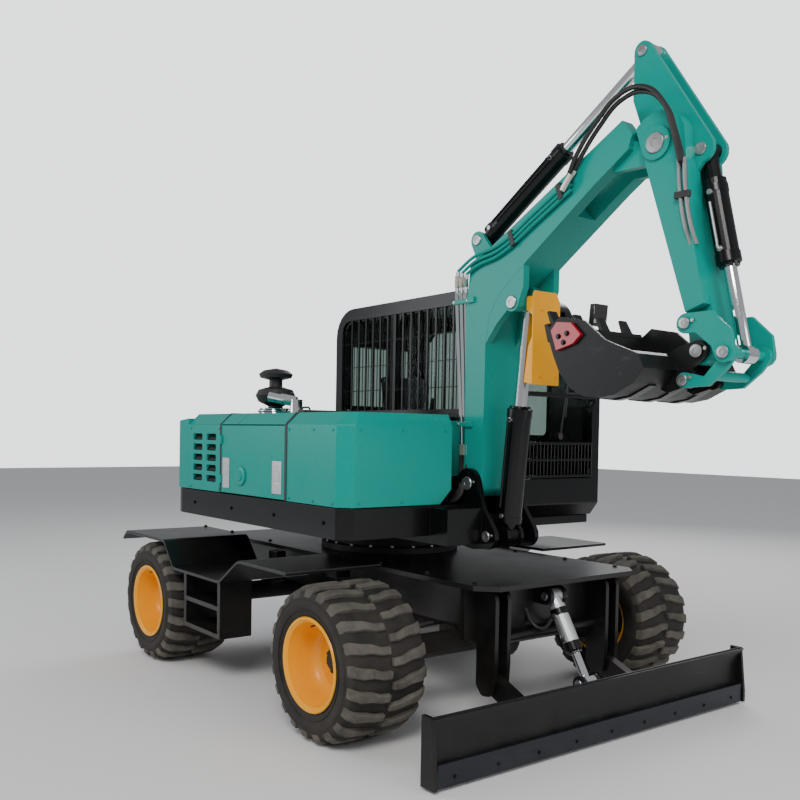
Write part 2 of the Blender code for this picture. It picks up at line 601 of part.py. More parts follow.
def service_door():
    x0, x1 = SEAM_DOOR_REAR + PANEL_GAP / 2, SEAM_DOOR_FRONT - PANEL_GAP / 2
    y0 = -HOUSE_HALF
    panel = block(x0, x1, y0, y0 + PANEL_THICK, PANEL_BOTTOM + 0.004, PANEL_FOLD - PANEL_GAP)
    hinges = [bar((*DOOR_HINGE, z), (*DOOR_HINGE, z + 0.05), 0.009, 12) for z in (PANEL_BOTTOM + 0.06,
                                                                                  PANEL_FOLD - 0.12)]
    return finish("service_door", [panel, *hinges], TEAL, pivot=(*DOOR_HINGE, PANEL_BOTTOM), smooth=False)


def hood_outline(inner):
    """The hood in cross-section: outer drop at the fold, sloping shoulder, flat top, inner edge."""
    y = HOUSE_HALF
    t = PANEL_THICK
    return [(-y, PANEL_FOLD), (-y + 0.075, PANEL_TOP), (inner, PANEL_TOP), (inner, PANEL_TOP - t),
            (-y + 0.085, PANEL_TOP - t), (-y + t, PANEL_FOLD)]


INTAKE = (-0.62, -0.50)


def hood_top():
    """Fixed hood over the radiator and air intake, beside the cab."""
    shell = cross_plate(hood_outline(HOUSE_INNER), SEAM_REAR + SEAT_GAP, HOOD_SPLIT)
    wall = block(SEAM_REAR + 0.02, SEAM_DOOR_FRONT - 0.01, HOUSE_INNER - PANEL_THICK, HOUSE_INNER,
                 HOUSE_BASE_TOP + SEAT_GAP, PANEL_TOP - PANEL_THICK - 0.0009)
    joint = block(SEAM_REAR + 0.03, HOOD_SPLIT - 0.02, HOUSE_INNER - PANEL_THICK + 0.002, HOUSE_INNER - 0.002,
                  PANEL_TOP - 0.1, PANEL_TOP - 0.01)
    return finish("hood_top", [shell, wall, joint], TEAL, smooth=False)


LID_HINGE = (HOUSE_INNER - 0.005, PANEL_TOP + 0.006)


def hood_lid():
    """Lid over the engine, hinged along the cab's side."""
    x0, x1 = HOOD_SPLIT + PANEL_GAP, SEAM_DOOR_FRONT - PANEL_GAP / 2
    shell = cross_plate(hood_outline(HOUSE_INNER), x0, x1)
    hinges = [bar((x, *LID_HINGE), (x + 0.06, *LID_HINGE), 0.008, 12) for x in (x0 + 0.05, x1 - 0.11)]
    return finish("hood_lid", [shell, *hinges], TEAL, pivot=(x0, *LID_HINGE), smooth=False)


def front_cover():
    """Closed cover of the tank and tool box ahead of the engine, with its chamfered corner."""
    x0 = SEAM_DOOR_FRONT + PANEL_GAP / 2
    c = HOUSE_CHAMFER
    y = HOUSE_HALF
    plan = [(x0, -y), (HOUSE_FRONT - c, -y), (HOUSE_FRONT, -y + c), (HOUSE_FRONT, COVER_INNER),
            (x0, COVER_INNER)]
    bm = bmesh.new()
    slope = 0.075
    top_plan = [(x0, -y + slope), (HOUSE_FRONT - c - 0.03, -y + slope), (HOUSE_FRONT - 0.035, -y + c + 0.045),
                (HOUSE_FRONT - 0.035, COVER_INNER), (x0, COVER_INNER)]
    rings = [[bm.verts.new((px, py, z)) for px, py in outline]
             for z, outline in ((PANEL_BOTTOM, plan), (PANEL_FOLD, plan), (PANEL_TOP, top_plan))]
    bm.faces.new(rings[0])
    bm.faces.new(rings[2])
    for low, high in zip(rings, rings[1:]):
        for i in range(len(low)):
            bm.faces.new((low[i - 1], low[i], high[i], high[i - 1]))
    body = keep(bm)
    shelf = block(x0, 0.645, COVER_INNER - 0.01, HOUSE_INNER, HOUSE_BASE_TOP + SEAT_GAP, PANEL_TOP - 0.03)
    corner = extrude([(HOUSE_FRONT - 0.2, COVER_INNER - 0.09, PANEL_BOTTOM - 0.01),
                      (HOUSE_FRONT - 0.2, COVER_INNER + 0.01, PANEL_BOTTOM - 0.01),
                      (HOUSE_FRONT - 0.2, COVER_INNER + 0.01, PANEL_BOTTOM + 0.09)], (0.3, 0, 0))
    return finish("front_cover", [body, shelf], TEAL, cuts=[corner], smooth=False)


def engine():
    body = block(-0.80, -0.26, -0.80, -0.12, HOUSE_BASE_TOP + SEAT_GAP, 1.44)
    pump = bar((-0.30, -0.45, 1.28), (0.05, -0.45, 1.28), 0.11, 16)
    foot = block(-0.05, 0.02, -0.52, -0.38, HOUSE_BASE_TOP + SEAT_GAP, 1.26)
    return finish("engine", [body, pump, foot], GREY, rough=0.6)


def pre_cleaner():
    """Mushroom-shaped air pre-cleaner on its clamp and neck."""
    z = PANEL_TOP + SEAT_GAP
    profile = [(0, 0.0), (0, 0.085), (0.035, 0.085), (0.04, 0.05), (0.06, 0.05), (0.09, 0.115), (0.13, 0.135),
               (0.17, 0.115), (0.19, 0.045), (0.235, 0.045), (0.25, 0.105), (0.275, 0.115), (0.30, 0.08),
               (0.315, 0.0)]
    return finish("pre_cleaner", [turned(profile, (*INTAKE, z), (0, 0, 1), 28)], BLACK, rough=0.3)


def exhaust_pipe():
    z = PANEL_TOP + SEAT_GAP
    stack = bar((-0.36, -0.50, z), (-0.36, -0.50, z + 0.10), 0.04, 20)
    outlet = bar((-0.36, -0.50, z + 0.085), (-0.50, -0.62, z + 0.12), 0.034, 20)
    bore = bar((-0.40, -0.53, z + 0.09), (-0.56, -0.67, z + 0.135), 0.027, 16)
    return finish("exhaust_pipe", [stack, outlet], CHROME, cuts=[bore], rough=0.2, metal=1.0)


# ---- cab ----------------------------------------------------------------------------------------
def cab_profile(inset=0.0):
    """The cab's side view: upright front that leans back above the sill, and round roof corners."""
    i = inset
    return rounded([
        (CAB_REAR + i, CAB_FLOOR + i, 0.03), (CAB_FRONT - 0.06 - i, CAB_FLOOR + i, 0.02), (CAB_FRONT - i,
                                                                                           CAB_FLOOR + 0.08,
                                                                                           0.03),
        (CAB_FRONT - i, 1.78, 0.12), (0.55 - i * 0.9, CAB_ROOF - i, 0.16), (CAB_REAR + i, CAB_ROOF - i,
                                                                            0.20 - i * 0.5)], 6)


DOOR_REAR, DOOR_FRONT = -0.22, 0.50
CAB_DOOR_BOTTOM, CAB_DOOR_TOP = 1.06, 2.26


def cab_frame():
    outer = side_plate(cab_profile(), CAB_RIGHT, CAB_LEFT)
    inner = side_plate(cab_profile(CAB_WALL), CAB_RIGHT + CAB_WALL, CAB_LEFT - CAB_WALL)
    y_in, y_out = CAB_RIGHT - 0.1, CAB_LEFT + 0.1
    mid = (CAB_RIGHT + CAB_LEFT) / 2
    right_windows = [
        side_plate(rounded([(a, 1.66, 0.04), (b, 1.66, 0.04), (b, 2.30, 0.06), (a, 2.30, 0.10)], 3), y_in,
                   mid)
        for a, b in ((CAB_REAR + 0.11, -0.30), (-0.22, 0.46))]
    left_window = side_plate(rounded([(CAB_REAR + 0.11, 1.62, 0.04), (-0.32, 1.62, 0.04), (-0.32, 2.28, 0.06),
                                      (CAB_REAR + 0.11, 2.28, 0.10)], 3), mid, y_out)
    doorway = side_plate(rounded([(DOOR_REAR, CAB_DOOR_BOTTOM, 0.05), (DOOR_FRONT, CAB_DOOR_BOTTOM, 0.05),
                                  (DOOR_FRONT, CAB_DOOR_TOP, 0.12), (DOOR_REAR, CAB_DOOR_TOP, 0.05)], 3),
                                  mid, y_out)
    front = block(0.40, CAB_FRONT + 0.2, CAB_RIGHT + 0.07, CAB_LEFT - 0.07, 1.24, CAB_ROOF - 0.09)
    rear = block(CAB_REAR - 0.1, CAB_REAR + 0.2, CAB_RIGHT + 0.12, CAB_LEFT - 0.12, 1.70, 2.15)
    return finish("cab_frame", [outer], BLACK, cuts=[inner, *right_windows, left_window, doorway, front,
                                                     rear])


CAB_HINGE = (DOOR_REAR - 0.012, CAB_LEFT + 0.0115)


def cab_door():
    g = PANEL_GAP
    outer = rounded([(DOOR_REAR + g, CAB_DOOR_BOTTOM + g, 0.045), (DOOR_FRONT - g, CAB_DOOR_BOTTOM + g,
                                                                   0.045),
                     (DOOR_FRONT - g, CAB_DOOR_TOP - g, 0.115), (DOOR_REAR + g, CAB_DOOR_TOP - g, 0.045)], 3)
    window = rounded([(DOOR_REAR + 0.08, 1.50, 0.04), (DOOR_FRONT - 0.08, 1.50, 0.04),
                      (DOOR_FRONT - 0.08, CAB_DOOR_TOP - 0.09, 0.08), (DOOR_REAR + 0.08,
                                                                       CAB_DOOR_TOP - 0.09, 0.04)], 3)
    leaf = side_plate(outer, CAB_LEFT - 0.03, CAB_LEFT)
    hole = side_plate(window, CAB_LEFT - 0.1, CAB_LEFT + 0.1)
    pins = [bar((*CAB_HINGE, z), (*CAB_HINGE, z + 0.06), 0.011, 12) for z in (1.20, 2.05)]
    straps = []
    for z in (1.21, 2.06):
        straps.append(block(CAB_HINGE[0], DOOR_REAR + 0.05, CAB_LEFT + 0.0015, CAB_LEFT + 0.012, z, z + 0.04))
        straps.append(block(DOOR_REAR + 0.012, DOOR_REAR + 0.05, CAB_LEFT - 0.004, CAB_LEFT + 0.010, z,
                            z + 0.04))
    handle = bar((DOOR_FRONT - 0.05, CAB_LEFT - 0.005, 1.40), (DOOR_FRONT - 0.05, CAB_LEFT + 0.03, 1.40),
                 0.014, 12)
    return finish("cab_door", [leaf, *pins, *straps, handle], BLACK, cuts=[hole], pivot=(*CAB_HINGE,
                                                                                         CAB_DOOR_BOTTOM))


PANE = 0.006


def cab_glass():
    """Each pane lies just inside its opening's frame."""
    tint = dict(rough=0.05)
    y0, y1 = CAB_RIGHT + 0.049, CAB_LEFT - 0.049
    outer, inner = cab_profile(CAB_WALL + SEAT_GAP), cab_profile(CAB_WALL + SEAT_GAP + PANE)
    skin = side_plate(outer, y0, y1)
    core = side_plate(inner, y0 - 0.1, y1 + 0.1)
    keep_front = block(0.30, 1.0, y0 - 0.1, y1 + 0.1, 1.20, 2.345)
    merge(skin, [core], "DIFFERENCE")
    merge(skin, [keep_front], "INTERSECT")
    finish("windscreen", [skin], GLASS, **tint)
    wall = CAB_WALL + SEAT_GAP
    finish("rear_window", [block(CAB_REAR + wall, CAB_REAR + wall + PANE, CAB_RIGHT + 0.10, CAB_LEFT - 0.10,
                                 1.68, 2.175)],
           GLASS, **tint)
    right = side_plate([(CAB_REAR + 0.06, 1.63), (0.50, 1.63), (0.50, 2.33), (CAB_REAR + 0.14, 2.33),
                        (CAB_REAR + 0.06, 2.25)],
                       CAB_RIGHT + wall, CAB_RIGHT + wall + PANE)
    finish("right_window", [right], GLASS, **tint)
    left = side_plate([(CAB_REAR + 0.06, 1.59), (-0.29, 1.59), (-0.29, 2.31), (CAB_REAR + 0.14, 2.31),
                       (CAB_REAR + 0.06, 2.23)],
                      CAB_LEFT - wall - PANE, CAB_LEFT - wall)
    finish("left_window", [left], GLASS, **tint)
    y = CAB_LEFT - 0.03 - SEAT_GAP
    pane = side_plate([(DOOR_REAR + 0.05, 1.47), (DOOR_FRONT - 0.05, 1.47), (DOOR_FRONT - 0.05,
                                                                             CAB_DOOR_TOP - 0.06),
                       (DOOR_REAR + 0.05, CAB_DOOR_TOP - 0.06)], y - PANE, y)
    finish("door_window", [pane], GLASS, pivot=(*CAB_HINGE, CAB_DOOR_BOTTOM), **tint)


def side_guard():
    """Upright bars over the cab's right windows, in a flat frame."""
    y1 = CAB_RIGHT - SEAT_GAP
    y0 = y1 - 0.016
    x0, x1, z0, z1 = CAB_REAR + 0.07, 0.50, 1.63, 2.34
    rim_out = rounded([(x0, z0, 0.02), (x1, z0, 0.02), (x1, z1, 0.03), (x0, z1, 0.10)], 3)
    rim_in = rounded([(x0 + 0.03, z0 + 0.03, 0.02), (x1 - 0.03, z0 + 0.03, 0.02), (x1 - 0.03, z1 - 0.03,
                                                                                   0.02),
                      (x0 + 0.03, z1 - 0.03, 0.08)], 3)
    frame = side_plate(rim_out, y0, y1)
    merge(frame, [side_plate(rim_in, y0 - 0.1, y1 + 0.1)], "DIFFERENCE")
    count = 16
    bars = [block(x0 + 0.02 + (x1 - x0 - 0.04) * (i + 0.5) / count - 0.006,
                  x0 + 0.02 + (x1 - x0 - 0.04) * (i + 0.5) / count + 0.006,
                  y0 + 0.003, y0 + 0.013, z0 + 0.01, z1 - 0.02) for i in range(1, count)]
    return finish("side_guard", [frame, *bars], BLACK, smooth=False)


def mirror():
    """Rear-view mirror on a bent stalk at the cab's front left pillar."""
    y = CAB_LEFT + SEAT_GAP
    foot = block(0.50, 0.56, y, y + 0.012, 2.14, 2.22)
    stalk = bar((0.53, y + 0.011, 2.18), (0.72, y + 0.075, 2.24), 0.010, 10)
    head = extrude([(0.715, y + 0.02, z) for z in (2.22,)] + [(0.715, y + 0.15, 2.22), (0.72, y + 0.16, 2.36),
                                                            (0.72, y + 0.03, 2.36)], (0.04, 0, 0))
    return finish("mirror", [foot, stalk, head], BLACK)


def seat():
    x, y, z = -0.38, 0.62, CAB_FLOOR + CAB_WALL + SEAT_GAP
    base = block(x - 0.17, x + 0.19, y - 0.17, y + 0.17, z, z + 0.24)
    cushion = side_plate(rounded([(x - 0.22, z + 0.22, 0.03), (x + 0.27, z + 0.22, 0.04),
                                  (x + 0.27, z + 0.34, 0.05),
                                  (x - 0.22, z + 0.32, 0.03)]), y - 0.23, y + 0.23)
    back = side_plate(rounded([(x - 0.25, z + 0.26, 0.03), (x - 0.13, z + 0.28, 0.03), (x - 0.22, z + 0.92,
                                                                                        0.05),
                               (x - 0.33, z + 0.90, 0.05)]), y - 0.21, y + 0.21)
    return finish("seat", [base, cushion, back], GREY, rough=0.8)


def controls():
    """Joystick pods beside the seat and the steering column, on one floor plate."""
    z = CAB_FLOOR + CAB_WALL + SEAT_GAP
    floor = block(-0.12, 0.60, 0.33, 0.93, z, z + 0.012)
    column = bar((0.46, 0.62, z + 0.008), (0.337, 0.62, z + 0.637), 0.03, 12)
    wheel = turned([(-0.012, 0.125), (0.012, 0.125), (0.012, 0.155), (-0.012, 0.155)], (0.335, 0.62,
                                                                                        z + 0.635),
                                                                                        (-0.19, 0, 1), 24)
    spokes = extrude([(0.20, 0.605, z + 0.603), (0.475, 0.605, z + 0.655), (0.475, 0.635, z + 0.655),
                      (0.20, 0.635, z + 0.603)],
                     (-0.002, 0, 0.012))
    pods = []
    for y in (0.36, 0.88):
        pods.append(block(-0.30, 0.02, y - 0.05, y + 0.05, z + 0.42, z + 0.52))
        pods.append(block(-0.08, 0.0, y - 0.035, y + 0.035, z, z + 0.45))
        pods.append(bar((-0.04, y, z + 0.50), (0.0, y, z + 0.70), 0.018, 10))
    return finish("controls", [floor, column, wheel, spokes, *pods], GREY, rough=0.7)


# ---- digging arm --------------------------------------------------------------------------------
STICK_PIN = 0.03


def boom():
    """Bent box boom: foot boss, upright leg, elbow, upper leg, and a forked tip for the stick's inner plates."""
    foot, tip = BOOM_FOOT, STICK_PIVOT
    upper_end = (1.86, 2.974)
    lower_end = (1.945, 2.862)
    outline = [
        *arc(foot, 0.075, 190, 345, 8), (0.985, 1.34), (0.985, 1.46), (0.99, 2.02), (1.02, 2.16),
        (1.10, 2.27), (1.283, 2.411),
        (1.70, 2.705), lower_end, upper_end, (1.56, 2.812), (0.96, 2.49), (0.90, 2.475), (0.862, 2.44),
        (0.83, 2.20),
        (0.842, 1.35)]
    body = side_plate(outline, -BOOM_HALF, BOOM_HALF)
    tongue = side_plate(boss_outline(tip, 0.078, (1.80, 2.845), 0.09), -0.105, 0.105)
    fork = side_plate(boss_outline(tip, 0.14, (1.75, 2.82), 0.30, 10), -0.066, 0.066)
    gusset_outline = [(0.95, 1.95), (1.07, 2.10), *arc(LIFT_ROD, 0.05, 230, 360, 6), (1.26, 2.28),
                      (1.26, 2.40), (1.0, 2.30)]
    gussets = [side_plate(gusset_outline, *sorted((side * 0.095,
                                                   side * (BOOM_HALF - 0.001)))) for side in (-1, 1)]
    rod_lugs = [side_plate(boss_outline(LIFT_ROD, 0.045, (1.09, 2.31), 0.05), side * (EYE_HALF + RUN_GAP),
                           side * (EYE_HALF + RUN_GAP + 0.07)) for side in (-1, 1)]
    arm_lugs = [side_plate(boss_outline(ARM_FOOT, 0.05, (0.94, 2.42), 0.07), side * (EYE_HALF + RUN_GAP),
                           side * (EYE_HALF + RUN_GAP + LUG)) for side in (-1, 1)]
    rod_room = side_plate(boss_outline(LIFT_ROD, 0.075, (1.13, 2.0), 0.075), -EYE_HALF - RUN_GAP,
                          EYE_HALF + RUN_GAP)
    pin_bore = cross_bar(tip, -0.2, 0.2, STICK_PIN + RUN_GAP, 24)
    # the stick's head swings through these: beside the tongue, and round it up to where its top edge starts
    reach = STICK_HEAD + SWING_GAP
    head_room = [cross_bar(tip, *sorted((side * 0.106, side * 0.2)), reach, 32) for side in (-1, 1)]
    head_room.append(side_plate([*arc(tip, STICK_SOCKET - SWING_GAP, -60, 159, 14),
                                 *reversed(arc(tip, reach, -60, 159, 14))], -0.2, 0.2))
    return finish("boom", [body, tongue, *gussets, *rod_lugs, *arm_lugs], TEAL,
                  cuts=[fork, rod_room, pin_bore, *head_room], pivot=at(foot))


def rod_guard():
    """Yellow plate that shields the lift cylinder's rod, bent at its upper edge under the boom's belly."""
    x = 1.26 + SEAT_GAP
    face = side_plate([(x + 0.010, 1.77), (x + 0.020, 1.77), (x + 0.022, 2.40), (x, 2.39), (x, 2.285),
                       (x + 0.012, 2.26)],
                      -0.13, 0.13)
    cheeks = [side_plate([(1.19, 1.80), (x + 0.015, 1.775), (x + 0.015, 2.25), (1.24, 2.13)],
                         *sorted((side * 0.118, side * 0.13))) for side in (-1, 1)]
    return finish("rod_guard", [face, *cheeks], YELLOW, pivot=at(BOOM_FOOT), smooth=False)


def stick():
    """Box stick, forked round the boom's tip, with two inner plates up to the arm cylinder and bucket cylinder pins."""
    s, p, i = STICK_PIVOT, BUCKET_PIVOT, ROCKER_PIVOT
    outline = [
        (1.94, 2.90), *reversed(arc(s, STICK_HEAD, 20, 150, 8)), (2.227, 2.45), (2.302, 2.08), (2.215, 2.05),
        (2.047, 2.567)]
    body = side_plate(outline, -BOOM_HALF, BOOM_HALF)
    lower = side_plate([(2.16, 2.20), (2.275, 2.20), (2.325, 2.00), *reversed(arc(p, 0.06, -140, 20, 8)),
                        (2.195, 2.00)],
                       -0.085, 0.085)
    plate_outline = [
        (2.00, 2.62), (1.925, 2.90), (1.86, 3.08), (1.862, 3.20), *reversed(arc(ARM_ROD, 0.045, 30, 185, 8)),
        (2.275, 2.80), *reversed(arc(BUCKET_CYL_FOOT, 0.06, -80, 10, 4)), (2.16, 2.62)]
    inner = EYE_HALF + RUN_GAP
    plates = [side_plate(plate_outline, *sorted((side * inner, side * (inner + LUG)))) for side in (-1, 1)]
    # room for the boom's forked tip between the fork plates
    tip_room = [side_plate([*arc(s, STICK_SOCKET, -90, 100, 8), (1.90, 3.2), (1.6, 3.2), (1.6, 2.45),
                            (1.995, 2.62)], a, b)
                for a, b in ((-0.1075, -inner - LUG - 0.001), (inner + LUG + 0.001, 0.1075))]
    middle = side_plate([*arc(s, 0.06, -80, 90, 8), (1.90, 3.3), (1.6, 3.2), (1.6, 2.45), (1.995, 2.62)],
                        -inner - 0.0001, inner + 0.0001)
    arm_room = side_plate(boss_outline(ARM_ROD, 0.08, (1.70, 3.2), 0.15), -inner - 0.0001, inner + 0.0001)
    web = side_plate([(1.96, 3.14), (2.06, 3.0), (2.13, 2.84), (2.10, 2.80), (2.02, 2.93), (1.93, 3.10)],
                     -inner - 0.01, inner + 0.01)
    foot_room = side_plate(boss_outline(BUCKET_CYL_FOOT, 0.075, (2.30, 2.40), 0.085), -inner - 0.0001,
                           inner + 0.0001)
    bores = [cross_bar(i, -0.2, 0.2, 0.0206, 24), cross_bar(p, -0.2, 0.2, 0.0256, 24)]
    bosses = [cross_bar(s, *sorted((side * (BOOM_HALF - 0.01), side * (BOOM_HALF + 0.012))),
                        0.075) for side in (-1, 1)]
    solid = merge(body, [lower, *plates, web, *bosses])
    merge(solid, [*tip_room, middle, arm_room, foot_room, *bores], "DIFFERENCE")
    pins = [cross_bar(s, *sorted((side * (inner + 0.001), side * (BOOM_HALF - 0.01))), STICK_PIN,
                      24) for side in (-1, 1)]
    return finish("stick", [solid, *pins], TEAL, pivot=at(s))


EAR_OUT = 0.115
LINK_IN, LINK_OUT = 0.122, 0.145


def rocker():
    """The bucket linkage's banana-shaped plates, on a through pin at the stick and stub pins at the link."""
    i, g = ROCKER_PIVOT, LINK_PIVOT
    outline = [*arc(i, 0.045, 100, 250, 6), (i[0] + 0.05, i[1] - 0.045), (g[0] - 0.06, g[1] + 0.03),
               *arc(g, 0.045, 190, 370, 6), (g[0] + 0.03, g[1] + 0.09), (i[0] + 0.12, i[1] + 0.045)]
    y0, y1 = LINK_OUT + RUN_GAP, LINK_OUT + 0.025
    plates = [side_plate(outline, *sorted((side * y0, side * y1))) for side in (-1, 1)]
    pin = cross_bar(i, -y1 - 0.006, y1 + 0.006, 0.020, 20)
    heads = [cross_bar(g, *sorted((side * (y1 - 0.005), side * (y1 + 0.006))), 0.024, 20) for side in (-1, 1)]
    return finish("rocker", [*plates, pin, *heads], TEAL, pivot=at(i))


def bucket_link():
    """H-link from the rocker's end to the bucket's second pin: two curved plates and a cross tube."""
    g, k = LINK_PIVOT, BUCKET_PIN
    outline = [*arc(g, 0.042, -40, 130, 6), (g[0] - 0.045, g[1] - 0.03), (k[0] + 0.10, k[1] + 0.012),
               *arc(k, 0.034, 80, 280, 6),
               (k[0] + 0.12, k[1] - 0.03), (g[0] + 0.0, g[1] - 0.07)]
    plates = [side_plate(outline, *sorted((side * LINK_IN, side * LINK_OUT))) for side in (-1, 1)]
    tube = cross_bar((k[0] + 0.135, k[1] + 0.015), -LINK_IN - 0.01, LINK_IN + 0.01, 0.022)
    stubs = [cross_bar(g, *sorted((side * (EYE_HALF + RUN_GAP), side * (LINK_OUT - 0.005))), 0.022,
                       20) for side in (-1, 1)]
    washers = [cross_bar(k, *sorted((side * (EAR_OUT + RUN_GAP), side * (LINK_OUT + 0.006))), 0.024,
                         20) for side in (-1, 1)]
    return finish("bucket_link", [*plates, tube, *stubs, *washers], TEAL, pivot=at(k))


def bucket():
    """Open bucket: curved back sheet, side plates, lip with teeth, and the ears with the main pin."""
    p, k = BUCKET_PIVOT, BUCKET_PIN
    lip = (1.62, 2.00)
    outer = [lip, (1.665, 1.885), (1.705, 1.80), (1.77, 1.725), (1.85, 1.683), (1.935, 1.674),
             (2.02, 1.688), (2.12, 1.735),
             (2.17, 1.80), (2.14, 1.862), (2.03, 1.905), (1.96, 1.935), (1.845, 2.03), (1.70, 2.06)]
    shell = side_plate(outer, -BUCKET_HALF, BUCKET_HALF)
    t = 0.018
    inner = [(lip[0] + t, lip[1] + 0.10), (lip[0] + t * 1.2, lip[1] + 0.005), (1.682, 1.895), (1.72, 1.813),
             (1.782, 1.741),
             (1.855, 1.702), (1.935, 1.693), (2.012, 1.706), (2.105, 1.749), (2.148, 1.803), (2.12, 1.85),
             (2.04, 1.95),
             (2.0, 2.12)]
    hollow = side_plate(inner, -BUCKET_HALF + t, BUCKET_HALF - t)
    ear = [(2.06, 1.73), (2.12, 1.70), *arc(k, 0.036, -120, 20, 4), (2.232, 1.81), *arc(p, 0.047, -60, 120,
                                                                                        6), (2.16, 1.90),
           (2.10, 1.87)]
    ears = [side_plate(ear, *sorted((side * (0.085 + RUN_GAP), side * EAR_OUT))) for side in (-1, 1)]
    pin = cross_bar(p, -EAR_OUT - 0.004, EAR_OUT + 0.004, 0.025, 24)
    link_pin = cross_bar(k, -EAR_OUT + 0.005, EAR_OUT - 0.005, 0.020, 20)
    edge = side_plate([(lip[0] + 0.012, lip[1] - 0.055), (lip[0] - 0.012, lip[1] + 0.03), (lip[0] + 0.010,
                                                                                           lip[1] + 0.035),
                       (lip[0] + 0.036, lip[1] - 0.04)], -BUCKET_HALF, BUCKET_HALF)
    teeth = []
    for n in range(4):
        y = -BUCKET_HALF + 0.09 + n * (2 * BUCKET_HALF - 0.18) / 3
        teeth.append(side_plate([(lip[0] - 0.004, lip[1] - 0.03), (lip[0] - 0.052, lip[1] + 0.10),
                                 (lip[0] - 0.040, lip[1] + 0.105),
                                 (lip[0] + 0.022, lip[1] + 0.0)], y - 0.028, y + 0.028))
    body = merge(shell, [hollow], "DIFFERENCE")
    return finish("bucket", [body, edge, *ears, pin, link_pin, *teeth], BLACK, pivot=at(p), rough=0.5)


def side_cutter(name, side):
    """Bolt-on cutter plate on the bucket's side."""
    y = BUCKET_HALF + SEAT_GAP
    outline = [(1.665, 1.995), (1.70, 1.90), (1.80, 1.925), (1.845, 1.965), (1.785, 2.025), (1.70, 2.035)]
    plate = side_plate(outline, *sorted((side * y, side * (y + 0.02))))
    return finish(name, [plate], RED, pivot=at(BUCKET_PIVOT), smooth=False)


# ---- assembly -----------------------------------------------------------------------------------
def centre_on_origin():
    """Shifts the machine along X so that its box is centred on the origin."""
    graph = bpy.context.evaluated_depsgraph_get()
    xs = []
    for item in bpy.context.scene.objects:
        solid = item.evaluated_get(graph)
        xs += [(item.matrix_world @ v.co).x for v in solid.data.vertices]
    middle = (min(xs) + max(xs)) / 2
    for item in bpy.context.scene.objects:
        item.location.x -= middle
    return middle


def build():
    for item in list(bpy.data.objects):
        bpy.data.objects.remove(item)
    chassis_frame()
    blade_bracket()
    slew_ring()
    rear_axle()
    front_axle()
    knuckle("knuckle_right", -1)
    knuckle("knuckle_left", 1)
    tie_rod()
    drive_shafts()
    platform("platform_right", -1)
    platform("platform_left", 1)
    for end, x in (("front", FRONT_AXLE_X), ("rear", REAR_AXLE_X)):
        for hand, side in (("right", -1), ("left", 1)):
            tyre(f"tyre_{end}_{hand}", x, side)
            rim(f"rim_{end}_{hand}", x, side)
    blade_mouldboard()
    blade_arms()
    cylinder("blade_cylinder", BLADE_CYL_FOOT, BLADE_CYL_ROD, 0.30, 0.042, 0.022, 0.036)
    house_frame()
    counterweight()
    louvre_panel()
    service_door()
    hood_top()
    hood_lid()
    front_cover()
    engine()
    pre_cleaner()
    exhaust_pipe()
    cab_frame()
    cab_door()
    cab_glass()
    side_guard()
    mirror()
    seat()
    controls()
    boom()
    rod_guard()
    cylinder("lift_cylinder", LIFT_FOOT, LIFT_ROD, 0.70, 0.065, 0.036, 0.05)
    cylinder("arm_cylinder", ARM_FOOT, ARM_ROD, 0.68, 0.052, 0.030, 0.042)
    stick()
    rocker()
    bucket_link()
    cylinder("bucket_cylinder", BUCKET_CYL_FOOT, LINK_PIVOT, 0.52, 0.050, 0.028, 0.040, 0.10)
    bucket()
    side_cutter("side_cutter_right", -1)
    side_cutter("side_cutter_left", 1)
    bpy.context.view_layer.update()
    middle = centre_on_origin()
    bpy.context.view_layer.update()
    return middle


SHIFT = build()
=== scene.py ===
"""Looks of the compact wheeled excavator: paint, rubber, glass, tread, bolts, hoses and trim."""
import json
import math

